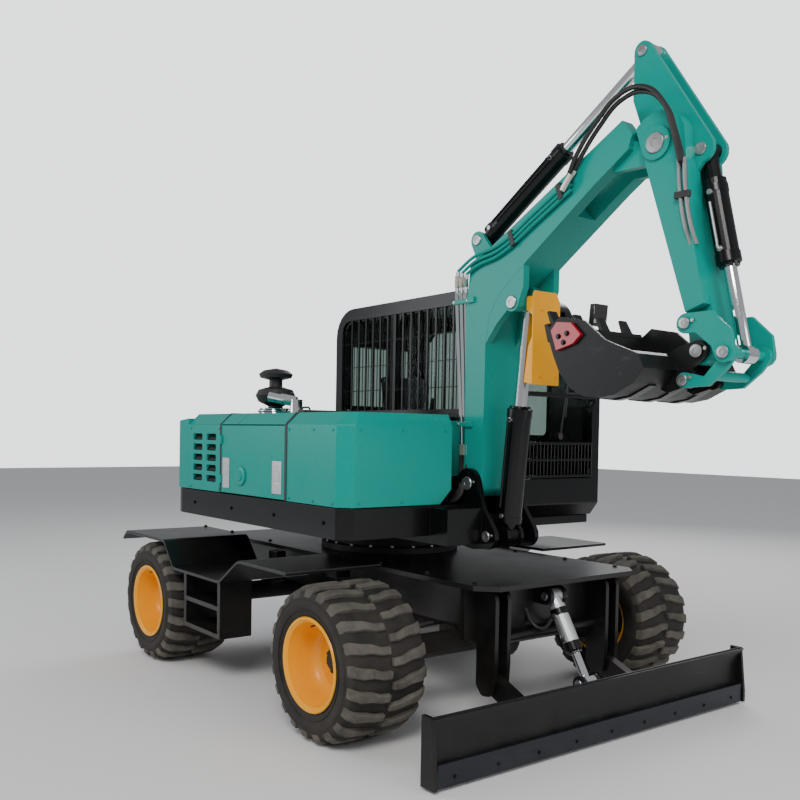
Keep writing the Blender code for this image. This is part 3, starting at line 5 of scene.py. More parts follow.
import bpy
from mathutils import Matrix, Vector
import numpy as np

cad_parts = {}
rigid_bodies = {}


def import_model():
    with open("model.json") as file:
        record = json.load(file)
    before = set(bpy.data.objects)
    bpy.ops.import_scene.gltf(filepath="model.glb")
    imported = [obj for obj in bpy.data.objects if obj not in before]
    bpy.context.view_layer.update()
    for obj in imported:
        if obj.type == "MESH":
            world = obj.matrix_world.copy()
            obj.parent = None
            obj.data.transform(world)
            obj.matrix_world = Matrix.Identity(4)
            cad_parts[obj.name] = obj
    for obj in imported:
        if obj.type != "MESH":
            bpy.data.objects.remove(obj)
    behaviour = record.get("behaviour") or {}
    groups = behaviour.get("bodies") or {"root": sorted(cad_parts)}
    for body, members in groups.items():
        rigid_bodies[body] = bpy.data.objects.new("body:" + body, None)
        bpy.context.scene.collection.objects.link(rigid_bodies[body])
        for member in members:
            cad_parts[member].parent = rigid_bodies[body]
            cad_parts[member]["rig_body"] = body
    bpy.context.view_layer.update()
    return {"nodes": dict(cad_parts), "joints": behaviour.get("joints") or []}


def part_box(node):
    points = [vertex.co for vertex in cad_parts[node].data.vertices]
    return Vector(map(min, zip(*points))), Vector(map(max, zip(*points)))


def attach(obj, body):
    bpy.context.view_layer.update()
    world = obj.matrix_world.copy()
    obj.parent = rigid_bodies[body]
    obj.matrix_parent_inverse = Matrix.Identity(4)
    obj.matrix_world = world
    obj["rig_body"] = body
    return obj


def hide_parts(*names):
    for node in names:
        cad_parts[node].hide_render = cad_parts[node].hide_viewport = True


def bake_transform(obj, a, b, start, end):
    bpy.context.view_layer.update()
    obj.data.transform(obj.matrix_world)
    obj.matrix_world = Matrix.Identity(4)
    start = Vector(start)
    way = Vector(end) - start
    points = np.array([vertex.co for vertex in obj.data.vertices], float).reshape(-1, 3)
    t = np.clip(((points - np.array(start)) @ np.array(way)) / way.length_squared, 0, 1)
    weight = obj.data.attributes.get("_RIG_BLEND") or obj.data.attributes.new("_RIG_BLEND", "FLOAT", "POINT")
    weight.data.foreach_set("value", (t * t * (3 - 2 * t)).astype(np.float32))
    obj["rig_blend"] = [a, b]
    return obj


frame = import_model()

JOINTS = {joint["name"]: joint for joint in frame["joints"]}
SLEW_X = JOINTS["slew"]["pos_m"][0]


def place(x, y, z):
    """A point given from the slew axis, as a point in the frame."""
    return Vector((x + SLEW_X, y, z))


def path(*points):
    """Points given from the slew axis, as points in the frame."""
    return [place(*point) for point in points]


def pivot(joint):
    """Where a joint's pin stands in the frame."""
    return Vector(JOINTS[joint]["pos_m"])


# ---- camera, floor and light --------------------------------------------------------------------
def set_camera():
    """The camera, turned by its yaw, pitch and roll."""
    yaw, pitch, roll = math.radians(54.299), math.radians(-1.655), math.radians(0.883)
    ahead = Vector((-math.sin(yaw), math.cos(yaw), 0))
    right = Vector((math.cos(yaw), math.sin(yaw), 0))
    up = Vector((0, 0, 1))
    gaze = ahead * math.cos(pitch) + up * math.sin(pitch)
    crown = up * math.cos(pitch) - ahead * math.sin(pitch)
    side = right * math.cos(roll) + crown * math.sin(roll)
    crown = crown * math.cos(roll) - right * math.sin(roll)
    lens = bpy.data.cameras.new("camera")
    lens.sensor_width = 36
    lens.lens = 40.2
    lens.shift_x = 0.0672
    lens.shift_y = 0.0727
    camera = bpy.data.objects.new("camera", lens)
    bpy.context.scene.collection.objects.link(camera)
    spot = place(4.536, -3.614, 1.503)
    camera.matrix_world = Matrix(((side.x, crown.x, -gaze.x, spot.x), (side.y, crown.y, -gaze.y, spot.y),
                                  (side.z, crown.z, -gaze.z, spot.z), (0, 0, 0, 1)))
    bpy.context.scene.camera = camera


def soft_box(name, spot, aim, width, height, power, tint=(1, 1, 1)):
    """A large soft lamp aimed at a point."""
    lamp = bpy.data.lights.new(name, "AREA")
    lamp.shape = "RECTANGLE"
    lamp.size, lamp.size_y = width, height
    lamp.energy = power
    lamp.color = tint
    item = bpy.data.objects.new(name, lamp)
    bpy.context.scene.collection.objects.link(item)
    item.location = spot
    item.rotation_euler = (Vector(aim) - Vector(spot)).to_track_quat("-Z", "Y").to_euler()


def set_studio():
    """A plain pale floor, a pale surround and four soft lamps."""
    bpy.ops.object.select_all(action="DESELECT")
    bpy.ops.mesh.primitive_plane_add(size=60, location=(0, 0, 0))
    floor = bpy.context.active_object
    floor.name = "floor"
    bpy.ops.object.transform_apply(location=True, rotation=True, scale=True)
    paint = bpy.data.materials.new("pale_floor")
    paint.use_nodes = True
    shader = paint.node_tree.nodes["Principled BSDF"]
    shader.inputs["Base Color"].default_value = (0.88, 0.88, 0.88, 1)
    shader.inputs["Roughness"].default_value = 0.85
    floor.data.materials.append(paint)
    world = bpy.data.worlds.new("studio")
    world.use_nodes = True
    sky = world.node_tree.nodes["Background"]
    sky.inputs["Color"].default_value = (0.95, 0.97, 1.0, 1)
    seen = world.node_tree.nodes.new("ShaderNodeLightPath")
    strength = world.node_tree.nodes.new("ShaderNodeMapRange")
    strength.inputs["To Min"].default_value = 0.38
    strength.inputs["To Max"].default_value = 2.2
    world.node_tree.links.new(seen.outputs["Is Camera Ray"], strength.inputs["Value"])
    world.node_tree.links.new(strength.outputs[0], sky.inputs["Strength"])
    bpy.context.scene.world = world
    middle = (0.2, 0, 1.4)
    soft_box("key_light", (5.5, -6.5, 7.0), middle, 4, 3, 560, (1.0, 0.98, 0.95))
    soft_box("fill_light", (-6.0, -7.0, 3.5), middle, 5, 4, 200, (0.95, 0.98, 1.0))
    soft_box("front_light", (8.5, 2.0, 3.0), middle, 4, 4, 170)
    soft_box("back_light", (-4.0, 7.0, 6.0), middle, 5, 4, 260)


set_camera()
set_studio()


# ---- shared surface effects ---------------------------------------------------------------------
def feed(tree, node, inputs):
    """Give each named input a value, or the output that drives it."""
    for socket, source in inputs.items():
        if isinstance(source, bpy.types.NodeSocket):
            tree.links.new(source, node.inputs[socket])
        else:
            node.inputs[socket].default_value = source


def add_step(tree, kind, inputs, **settings):
    """Add a shader node, choose its settings and feed its inputs."""
    node = tree.nodes.new("ShaderNode" + kind)
    for setting, choice in settings.items():
        setattr(node, setting, choice)
    feed(tree, node, inputs)
    return node


def new_group(name, entries, exits):
    """A shader node group with its inputs, their usual values, and its outputs."""
    group = bpy.data.node_groups.new(name, "ShaderNodeTree")
    for label, kind, value in entries:
        group.interface.new_socket(label, in_out="INPUT",
                                   socket_type="NodeSocket" + kind).default_value = value
    for label, kind in exits:
        group.interface.new_socket(label, in_out="OUTPUT", socket_type="NodeSocket" + kind)
    start = group.nodes.new("NodeGroupInput")
    end = group.nodes.new("NodeGroupOutput")
    where = add_step(group, "TexCoord", {}).outputs["Object"]
    return group, start.outputs, end, where


def dust_group():
    """Dust that thickens towards the ground and gathers in patches, as a colour and a mask."""
    group, start, end, where = new_group("road_dust", [("Paint", "Color", (0.5, 0.5, 0.5, 1)),
        ("Dust", "Color", (0.23, 0.19, 0.14, 1)), ("Low Amount", "Float", 0.4), ("All Over", "Float", 0.06),
        ("Height", "Float", 1.0), ("Patch Size", "Float", 5.0)], [("Color", "Color"), ("Mask", "Float")])
    height = add_step(group, "SeparateXYZ", {0: where}).outputs["Z"]
    fall = add_step(group, "MapRange", {"To Min": 1, "To Max": 0, "Value": height,
                                        "From Max": start["Height"]})
    low = add_step(group, "Math", {0: fall.outputs[0], 1: start["Low Amount"], 2: start["All Over"]},
                   operation="MULTIPLY_ADD")
    patches = add_step(group, "TexNoise", {"Detail": 7, "Roughness": 0.65, "Vector": where,
                       "Scale": start["Patch Size"]})
    stretch = add_step(group, "MapRange", {"From Min": 0.35, "From Max": 0.7,
                       "Value": patches.outputs["Fac"]})
    mask = add_step(group, "Math", {0: low.outputs[0], 1: stretch.outputs[0]}, operation="MULTIPLY",
                    use_clamp=True)
    mix = add_step(group, "Mix", {"Factor": mask.outputs[0], "A": start["Paint"], "B": start["Dust"]},
                   data_type="RGBA")
    feed(group, end, {"Color": mix.outputs["Result"], "Mask": mask.outputs[0]})
    return group


def wear_group():
    """Scuffs and fine scratches: a mask that is 1 where the finish has rubbed off."""
    group, start, end, where = new_group("scuffs", [("Size", "Float", 12.0), ("Amount", "Float", 0.3),
        ("Stretch", "Vector", (1, 1, 1))], [("Mask", "Float")])
    turn = add_step(group, "VectorMath", {0: where, 1: start["Stretch"]}, operation="MULTIPLY")
    noise = add_step(group, "TexNoise", {"Detail": 9, "Roughness": 0.72, "Distortion": 0.4,
                     "Vector": turn.outputs[0], "Scale": start["Size"]})
    keep = add_step(group, "MapRange", {"From Min": 0.58, "From Max": 0.68, "Value": noise.outputs["Fac"]})
    scale = add_step(group, "Math", {0: keep.outputs[0], 1: start["Amount"]}, operation="MULTIPLY")
    feed(group, end, {"Mask": scale.outputs[0]})
    return group


def grain_group():
    """Fine surface grain, from orange peel to cast skin, as a height."""
    group, start, end, where = new_group("surface_grain", [("Fine", "Float", 300.0),
        ("Coarse", "Float", 30.0), ("Mix", "Float", 0.5)], [("Height", "Float")])
    fine, coarse = [add_step(group, "TexNoise", {"Detail": 3, "Vector": where,
                             "Scale": start[label]}).outputs["Fac"] for label in ("Fine", "Coarse")]
    mix = add_step(group, "Mix", {"Factor": start["Mix"], "A": fine, "B": coarse})
    feed(group, end, {"Height": mix.outputs["Result"]})
    return group


ROAD_DUST, SCUFFS, GRAIN = dust_group(), wear_group(), grain_group()


def new_paint(name):
    """A new material with its node tree and its surface shader."""
    paint = bpy.data.materials.new(name)
    paint.use_nodes = True
    return paint, paint.node_tree, paint.node_tree.nodes["Principled BSDF"]


def finish_of(name, colour, rough, metal=0.0, coat=0.0, low_dust=0.4, all_dust=0.06, dust_height=1.0,
              patch=5.0, dust=(0.23, 0.19, 0.14), scuff=0.0, scuff_size=14.0,
              scuff_colour=(0.25, 0.25, 0.25), scuff_stretch=(1, 1, 1), fine=300.0, coarse=30.0, mix=0.5,
              relief=0.05, relief_depth=0.002, rough_vary=0.18, specular=0.5):
    """A painted, bare or rubber finish: colour, rubbed patches, dust, grain and a roughness to match."""
    paint, tree, shader = new_paint(name)
    rub = add_step(tree, "Group", {"Size": scuff_size, "Amount": scuff, "Stretch": scuff_stretch},
                   node_tree=SCUFFS)
    blend = add_step(tree, "Mix", {"A": (*colour, 1), "B": (*scuff_colour, 1),
                                   "Factor": rub.outputs["Mask"]}, data_type="RGBA")
    dirt = add_step(tree, "Group", {"Dust": (*dust, 1), "Low Amount": low_dust, "All Over": all_dust,
                                    "Height": dust_height, "Patch Size": patch,
                                    "Paint": blend.outputs["Result"]}, node_tree=ROAD_DUST)
    shine = add_step(tree, "MapRange", {"To Min": rough, "To Max": min(1.0, rough + rough_vary + 0.35),
                                        "Value": dirt.outputs["Mask"]})
    grain = add_step(tree, "Group", {"Fine": fine, "Coarse": coarse, "Mix": mix}, node_tree=GRAIN)
    bump = add_step(tree, "Bump", {"Strength": relief, "Distance": relief_depth,
                                   "Height": grain.outputs["Height"]})
    feed(tree, shader, {"Metallic": metal, "Coat Weight": coat, "Coat Roughness": 0.08,
                        "Specular IOR Level": specular, "Base Color": dirt.outputs["Color"],
                        "Roughness": shine.outputs[0], "Normal": bump.outputs["Normal"]})
    return paint


TEAL = finish_of("teal_enamel", (0.0, 0.30, 0.25), 0.27, coat=0.0, specular=0.22, low_dust=0.08,
                 all_dust=0.03, dust_height=1.6, dust=(0.16, 0.20, 0.17), fine=90, coarse=9, mix=0.35,
                 relief=0.10, relief_depth=0.003)
BLACK = finish_of("black_enamel", (0.003, 0.0034, 0.004), 0.24, coat=0.05, specular=0.3, low_dust=0.12,
                  all_dust=0.04, dust_height=1.2, dust=(0.04, 0.037, 0.033), scuff=0.10, scuff_size=22,
                  scuff_colour=(0.06, 0.06, 0.06), fine=120, coarse=12, mix=0.4, relief=0.12,
                  relief_depth=0.002)
FRAME_BLACK = finish_of("chassis_black", (0.004, 0.0045, 0.005), 0.28, coat=0.1, specular=0.4,
                        low_dust=0.30, all_dust=0.06, dust_height=0.9, dust=(0.06, 0.050, 0.038),
                        scuff=0.25, scuff_size=18, scuff_colour=(0.03, 0.03, 0.028), fine=160, coarse=16,
                        relief=0.18, relief_depth=0.003)
BLADE_BLACK = finish_of("worn_blade_black", (0.0035, 0.004, 0.0045), 0.36, specular=0.28, low_dust=0.35,
                        all_dust=0.08, dust_height=0.35, dust=(0.05, 0.048, 0.044), scuff=0.5, scuff_size=9,
                        scuff_colour=(0.03, 0.033, 0.038), scuff_stretch=(1, 0.35, 2.5), fine=200,
                        coarse=14, relief=0.25, relief_depth=0.003)
EDGE_BLUE = finish_of("worn_edge_steel", (0.006, 0.009, 0.016), 0.34, metal=0.3, low_dust=0.35,
                      all_dust=0.08, dust_height=0.12, dust=(0.05, 0.048, 0.044), scuff=0.6, scuff_size=8,
                      scuff_colour=(0.035, 0.042, 0.055), scuff_stretch=(1, 0.3, 3), fine=200, coarse=14,
                      relief=0.25, relief_depth=0.003)
YELLOW = finish_of("wheel_yellow", (1.0, 0.42, 0.0), 0.30, coat=0.1, specular=0.35, low_dust=0.20,
                   all_dust=0.04, dust_height=0.7, dust=(0.16, 0.12, 0.06), scuff=0.12, scuff_size=30,
                   scuff_colour=(0.35, 0.16, 0.03), fine=150, coarse=14, relief=0.10, relief_depth=0.002)
RED = finish_of("cutter_red", (0.42, 0.004, 0.02), 0.25, coat=0.4, low_dust=0.0, all_dust=0.08,
                dust_height=3, dust=(0.2, 0.15, 0.12), scuff=0.25, scuff_size=30,
                scuff_colour=(0.16, 0.02, 0.02))
STEEL = finish_of("bare_steel", (0.42, 0.42, 0.43), 0.32, metal=0.9, low_dust=0.4, all_dust=0.10,
                  dust=(0.16, 0.14, 0.11), scuff=0.3, scuff_size=40, scuff_colour=(0.20, 0.19, 0.18),
                  relief=0.12)
ZINC = finish_of("zinc_bolts", (0.60, 0.58, 0.52), 0.30, metal=0.9, low_dust=0.35, all_dust=0.05, relief=0.05)
CHROME = finish_of("hard_chrome", (0.82, 0.83, 0.85), 0.07, metal=1.0, low_dust=0.0, all_dust=0.03,
                   dust=(0.3, 0.3, 0.3), relief=0.02, relief_depth=0.0005, rough_vary=0.05)
CAST = finish_of("cast_iron", (0.018, 0.017, 0.017), 0.5, metal=0.3, low_dust=0.45, all_dust=0.10,
                 dust=(0.07, 0.058, 0.044), fine=120, coarse=40, relief=0.45, relief_depth=0.004)
RUBBER = finish_of("tyre_rubber", (0.012, 0.011, 0.010), 0.62, low_dust=0.4, all_dust=0.4, dust_height=0.9,
                   patch=7, dust=(0.060, 0.052, 0.043), fine=220, coarse=25, relief=0.35,
                   relief_depth=0.003, specular=0.35)
TREAD = finish_of("dusty_tread", (0.065, 0.060, 0.053), 0.75, low_dust=0.6, all_dust=0.5, dust_height=0.9,
                  patch=9, dust=(0.17, 0.155, 0.13), scuff=0.35, scuff_size=26,
                  scuff_colour=(0.016, 0.014, 0.012), fine=160, coarse=40, relief=0.5, relief_depth=0.004,
                  specular=0.3)
HOSE = finish_of("hose_rubber", (0.012, 0.012, 0.013), 0.42, low_dust=0.15, all_dust=0.06, fine=500,
                 coarse=60, relief=0.2, relief_depth=0.001)
TRIM = finish_of("black_plastic", (0.018, 0.018, 0.019), 0.45, low_dust=0.1, all_dust=0.05, fine=420,
                 coarse=80, relief=0.25, relief_depth=0.001)
SILVER = finish_of("silver_plate", (0.62, 0.64, 0.65), 0.33, metal=0.75, low_dust=0.1, all_dust=0.05,
                   relief=0.05)
# near-black radiator core: partly the core's own colour, partly painted shade for the dark space behind the
# louvres
DARK_VOID = finish_of("radiator_core_painted_shade", (0.008, 0.009, 0.010), 0.7, low_dust=0.1, all_dust=0.1, relief=0.2)


def clear_glass(name, tint, rough=0.02):
    """Clear tinted glass with a haze of dust."""
    paint, tree, shader = new_paint(name)
    dusty = (tint[0] * 0.8, tint[1] * 0.8, tint[2] * 0.78, 1)
    dirt = add_step(tree, "Group", {"Paint": (*tint, 1), "Dust": dusty, "Low Amount": 0.3, "All Over": 0.1,
                                    "Height": 2.2}, node_tree=ROAD_DUST)
    haze = add_step(tree, "MapRange", {"To Min": rough, "To Max": rough + 0.15,
                                       "Value": dirt.outputs["Mask"]})
    feed(tree, shader, {"Transmission Weight": 1.0, "IOR": 1.12, "Base Color": dirt.outputs["Color"],
                        "Roughness": haze.outputs[0]})
    return paint


def seat_cloth():
    """Woven seat cloth: two crossed bands of thread, darker in the gaps."""
    paint, tree, shader = new_paint("seat_cloth")
    where = add_step(tree, "TexCoord", {}).outputs["Object"]
    along, across = [add_step(tree, "TexWave", {"Scale": 95, "Distortion": 0.6, "Vector": where},
                              bands_direction=axis).outputs["Fac"] for axis in ("X", "Y")]
    cross = add_step(tree, "Math", {0: along, 1: across}, operation="MULTIPLY").outputs[0]
    tone = add_step(tree, "Mix", {"A": (0.025, 0.026, 0.03, 1), "B": (0.10, 0.10, 0.115, 1),
                                  "Factor": cross}, data_type="RGBA")
    bump = add_step(tree, "Bump", {"Strength": 0.5, "Distance": 0.001, "Height": cross})
    feed(tree, shader, {"Sheen Weight": 0.35, "Roughness": 0.9, "Base Color": tone.outputs["Result"],
                        "Normal": bump.outputs["Normal"]})
    return paint


GLASS = clear_glass("cab_glass", (0.66, 0.78, 0.73))
SEAT_CLOTH = seat_cloth()


# ---- a maker's moves ----------------------------------------------------------------------------
def take(piece):
    """Select one piece and nothing else."""
    bpy.ops.object.select_all(action="DESELECT")
    piece.select_set(True)
    bpy.context.view_layer.objects.active = piece
    return piece


def set_in_place(piece):
    """Settle a piece's place, turn and size into its mesh."""
    take(piece)
    bpy.ops.object.transform_apply(location=True, rotation=True, scale=True)
    return piece


def fresh(add, **how):
    """Add a primitive with nothing else selected, and settle it."""
    bpy.ops.object.select_all(action="DESELECT")
    add(**how)
    return set_in_place(bpy.context.active_object)


def reshape(piece, *moves):
    """Run edit-mode moves one after another, each on the whole mesh."""
    take(piece)
    bpy.ops.object.mode_set(mode="EDIT")
    for move, how in moves:
        bpy.ops.mesh.select_all(action="SELECT")
        move(**how)
    bpy.ops.object.mode_set(mode="OBJECT")
    return piece


FACE_OUT = (bpy.ops.mesh.normals_make_consistent, {"inside": False})


def soften(piece, width, rounds=2, angle=32):
    """Bevel the sharp edges by a modifier, applied."""
    take(piece)
    edge = piece.modifiers.new("rounded_edges", "BEVEL")
    edge.width = width
    edge.segments = rounds
    edge.limit_method = "ANGLE"
    edge.angle_limit = math.radians(angle)
    edge.use_clamp_overlap = True
    edge.harden_normals = False
    bpy.ops.object.modifier_apply(modifier=edge.name)
    return piece


def flat_faces(piece):
    """Let the large faces set the shading, so that plates look flat up to their rounded edges."""
    take(piece)
    weigh = piece.modifiers.new("flat_faces", "WEIGHTED_NORMAL")
    weigh.mode = "FACE_AREA"
    weigh.weight = 50
    weigh.keep_sharp = True
    bpy.ops.object.modifier_apply(modifier=weigh.name)


def fit(piece, name, body, paint, smooth=35):
    """Name the piece, smooth it, paint it, and let it ride on its body."""
    set_in_place(piece)
    piece.name = name
    piece.data.name = name
    bpy.ops.object.shade_smooth_by_angle(angle=math.radians(smooth))
    if smooth < 60:
        flat_faces(piece)
    piece.data.materials.clear()
    piece.data.materials.append(paint)
    if body:
        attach(piece, body)
    return piece


def box_at(low, high, width=0.003, rounds=2):
    """A block between two corners, with its edges rounded."""
    low, high = Vector(low), Vector(high)
    piece = fresh(bpy.ops.mesh.primitive_cube_add, size=1, location=(low + high) / 2, scale=high - low)
    return soften(piece, width, rounds) if width else piece


def round_bar(start, end, radius, sides=20, width=0.0):
    """A straight bar between two points."""
    start, end = Vector(start), Vector(end)
    way = end - start
    piece = fresh(bpy.ops.mesh.primitive_cylinder_add, vertices=sides, radius=radius, depth=way.length,
                  location=(start + end) / 2, rotation=way.to_track_quat("Z", "Y").to_euler())
    return soften(piece, width, 2) if width else piece


def cut_plate(outline, push, width=0.002):
    """A plate cut to an outline and pushed to its thickness."""
    piece = fresh(bpy.ops.mesh.primitive_circle_add, vertices=len(outline), radius=1, fill_type="NGON")
    for vertex, point in zip(piece.data.vertices, outline):
        vertex.co = point
    reshape(piece, (bpy.ops.mesh.extrude_region_move, {"TRANSFORM_OT_translate": {"value": push}}), FACE_OUT)
    return soften(piece, width, 2) if width else piece


def spun(profile, centre, axis, steps=64):
    """A closed profile of (along, radius) points turned round an axis by Spin."""
    way = Vector(axis).normalized()
    out = way.cross(Vector((1, 0, 0)))
    out = out.normalized() if out.length > 0.01 else Vector((0, 0, 1))
    centre = Vector(centre)
    piece = fresh(bpy.ops.mesh.primitive_circle_add, vertices=len(profile), radius=1, fill_type="NOTHING")
    for vertex, (along, radius) in zip(piece.data.vertices, profile):
        vertex.co = centre + way * along + out * radius
    return reshape(piece, (bpy.ops.mesh.spin, {"steps": steps, "angle": math.tau, "center": centre,
                           "axis": way}), (bpy.ops.mesh.remove_doubles, {"threshold": 0.00005}),
                   (bpy.ops.mesh.delete_loose, {"use_verts": True, "use_edges": True, "use_faces": False}),
                   FACE_OUT)


def run_of_pipe(points, radius, sides=3, smooth=True):
    """A pipe or hose through points, as a curve with a round section made into a mesh."""
    run = bpy.data.curves.new("run", "CURVE")
    run.dimensions = "3D"
    run.bevel_depth = radius
    run.bevel_resolution = sides
    run.resolution_u = 8
    run.use_fill_caps = True
    spline = run.splines.new("BEZIER" if smooth else "POLY")
    if smooth:
        spline.bezier_points.add(len(points) - 1)
        for knot, point in zip(spline.bezier_points, points):
            knot.co = point
            knot.handle_left_type = knot.handle_right_type = "AUTO"
    else:
        spline.points.add(len(points) - 1)
        for knot, point in zip(spline.points, points):
            knot.co = (*point, 1)
    piece = bpy.data.objects.new("run", run)
    bpy.context.scene.collection.objects.link(piece)
    take(piece)
    bpy.ops.object.convert(target="MESH")
    return bpy.context.active_object


def gather(pieces):
    """Join pieces into the first one."""
    bpy.ops.object.select_all(action="DESELECT")
    for piece in pieces:
        piece.select_set(True)
    bpy.context.view_layer.objects.active = pieces[0]
    bpy.ops.object.join()
    return bpy.context.active_object


def twin_of(pattern, move):
    """A copy of a piece with its own mesh, moved by a matrix."""
    twin = pattern.copy()
    twin.data = pattern.data.copy()
    twin.data.transform(move)
    bpy.context.scene.collection.objects.link(twin)
    return twin


def copies(pattern, moves):
    """One piece repeated by a list of matrices and joined."""
    made = [twin_of(pattern, move) for move in moves]
    bpy.data.objects.remove(pattern)
    return gather(made)


def bolt(radius):
    """A hexagon head on its washer, pointing along +Z from the origin."""
    head = fresh(bpy.ops.mesh.primitive_cylinder_add, vertices=6, radius=radius, depth=radius * 0.9,
                 location=(0, 0, radius * 0.6))
    soften(head, radius * 0.12, 1)
    washer = fresh(bpy.ops.mesh.primitive_cylinder_add, vertices=16, radius=radius * 1.35,
                   depth=radius * 0.3, location=(0, 0, radius * 0.1))
    return gather([head, washer])


def bolts(name, spots, facing, radius, body, paint=None):
    """Bolts at points, all facing one way."""
    turn = Vector(facing).to_track_quat("Z", "Y").to_matrix().to_4x4()
    row = copies(bolt(radius), [Matrix.Translation(Vector(spot)) @ turn for spot in spots])
    return fit(row, name, body, paint or ZINC)


def round_bead(radius, size, **how):
    """A round bead or clamp."""
    return fresh(bpy.ops.mesh.primitive_torus_add, major_radius=radius, minor_radius=size, **how)


def refined(node, paint, width):
    """A node's own shape with its flat faces joined and its edges rounded, shown in the node's place."""
    source = frame["nodes"][node]
    piece = bpy.data.objects.new(node + "_shaped", source.data.copy())
    bpy.context.scene.collection.objects.link(piece)
    reshape(piece, (bpy.ops.mesh.remove_doubles, {"threshold": 0.00002}),
            (bpy.ops.mesh.dissolve_limited, {"angle_limit": math.radians(1.5)}))
    layers = piece.data.attributes
    for name in [layer.name for layer in layers if layer.name in ("custom_normal", "sharp_face",
                 "sharp_edge")]:
        layers.remove(layers[name])
    soften(piece, width, 2, 30)
    piece.data.materials.clear()
    bpy.ops.object.shade_smooth_by_angle(angle=math.radians(38))
    flat_faces(piece)
    piece.data.materials.append(paint)
    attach(piece, source["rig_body"])
    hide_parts(node)


# ---- wheels -------------------------------------------------------------------------------------
TYRE_LOW, TYRE_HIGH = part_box("tyre_rear_left")
TYRE_RADIUS = (TYRE_HIGH.z - TYRE_LOW.z) / 2
TYRE_HALF = (TYRE_HIGH.y - TYRE_LOW.y) / 2
CARCASS = TYRE_RADIUS - 0.024


def tread_lug():
    """One tread block, stepped across and wrapped over the shoulder, on top of a wheel that turns on Y."""
    top = TYRE_RADIUS - 0.0008
    foot = CARCASS - 0.012
    reach = TYRE_HALF - 0.006
    lug = box_at((-0.031, 0, foot), (0.031, reach, top), 0)
    reshape(lug, (bpy.ops.mesh.subdivide, {"number_cuts": 3}))
    skew = (-0.022, -0.020, -0.002, 0.004, 0.020)
    girth = (0.72, 0.74, 0.86, 1.0, 1.12)
    for vertex in lug.data.vertices:
        x, y, z = vertex.co
        step = round(4 * y / reach)
        height = (z - foot) / (top - foot)
        x = x * girth[step] * (1 - 0.16 * height) + skew[step]
        if step == 4:
            y -= 0.012 * height
            z -= 0.034 - 0.010 * height
        elif step == 3:
            z -= 0.004 * height
        elif step == 0:
            y += 0.004
        vertex.co = (math.sin(x / TYRE_RADIUS) * z, y, math.cos(x / TYRE_RADIUS) * z)
    return soften(lug, 0.0045, 1, 40)


def tyre_with_tread():
    """Carcass turned from its section, side-wall rings, and two rows of staggered lugs."""
    half, seat = TYRE_HALF, 0.2141
    wall = [(half - 0.035, seat), (half - 0.020, seat + 0.012), (half - 0.016, seat + 0.028),
            (half - 0.006, seat + 0.045), (half - 0.0006, seat + 0.075), (half - 0.002, seat + 0.092),
            (half - 0.008, seat + 0.110), (half - 0.022, seat + 0.133), (half - 0.050, CARCASS - 0.004),
            (half - 0.090, CARCASS)]
    profile = wall + [(0.0, CARCASS + 0.003)] + [(-along, radius) for along, radius in reversed(wall)]
    carcass = spun(profile, (0, 0, 0), (0, 1, 0), 72)
    beads = ((0.262, half - 0.0035, 0.0028), (0.310, half - 0.0045, 0.0030), (0.318, half - 0.0075, 0.0030))
    rings = [round_bead(radius, size, major_segments=72, minor_segments=8, location=(0, side * along, 0),
                        rotation=(math.pi / 2, 0, 0)) for side in (-1, 1) for radius, along, size in beads]
    count = 21
    lug = tread_lug()
    moves = []
    for n in range(count):
        turn = math.tau * n / count
        moves.append(Matrix.Rotation(turn, 4, "Y"))
        moves.append(Matrix.Rotation(turn + math.pi / count, 4, "Y") @ Matrix.Diagonal((1, -1, 1, 1)))
    tread = copies(lug, moves)
    reshape(tread, FACE_OUT)
    return gather([carcass, *rings]), tread


def wheel_rim():
    """Deep-dish rim with rolled lips, a black hub with its ring of nuts and a valve, opening towards +Y."""
    half = TYRE_HALF
    bore, seat = 0.1997, 0.2137
    lip = half - 0.018
    disc = 0.030
    profile = [(disc + 0.001, 0.05), (disc + 0.001, 0.165), (disc - 0.004, bore - 0.008),
               (-half + 0.04, bore + 0.001), (-half + 0.04, seat), (lip - 0.014, seat),
               (lip - 0.002, seat + 0.009), (lip, seat + 0.014), (lip + 0.004, seat + 0.0165),
               (lip + 0.009, seat + 0.013), (lip + 0.0085, seat + 0.002), (lip - 0.004, bore + 0.003),
               (lip - 0.035, bore - 0.001), (lip - 0.055, bore - 0.006), (disc + 0.075, bore - 0.007),
               (disc + 0.045, bore - 0.014), (disc + 0.030, bore - 0.028), (disc + 0.014, bore - 0.045),
               (disc + 0.012, 0.112), (disc + 0.024, 0.100), (disc + 0.026, 0.088), (disc + 0.026, 0.05)]
    dish = spun(profile, (0, 0, 0), (0, 1, 0), 72)
    hub = spun([(disc + 0.01, 0.0), (disc + 0.01, 0.074), (disc + 0.030, 0.074), (disc + 0.034, 0.070),
                (disc + 0.036, 0.052), (disc + 0.052, 0.048), (disc + 0.058, 0.042), (disc + 0.060, 0.0)],
               (0, 0, 0), (0, 1, 0), 40)
    turn = Vector((0, 1, 0)).to_track_quat("Z", "Y").to_matrix().to_4x4()
    nuts = []
    for n in range(8):
        angle = math.tau * (n + 0.5) / 8
        nuts.append(Matrix.Translation((math.cos(angle) * 0.0615, disc + 0.034,
                                        math.sin(angle) * 0.0615)) @ turn)
    ring = copies(bolt(0.0085), nuts)
    valve = round_bar((0, lip - 0.05, bore - 0.010), (0, lip - 0.005, bore - 0.016), 0.004, 10)
    return dish, gather([hub, ring]), valve


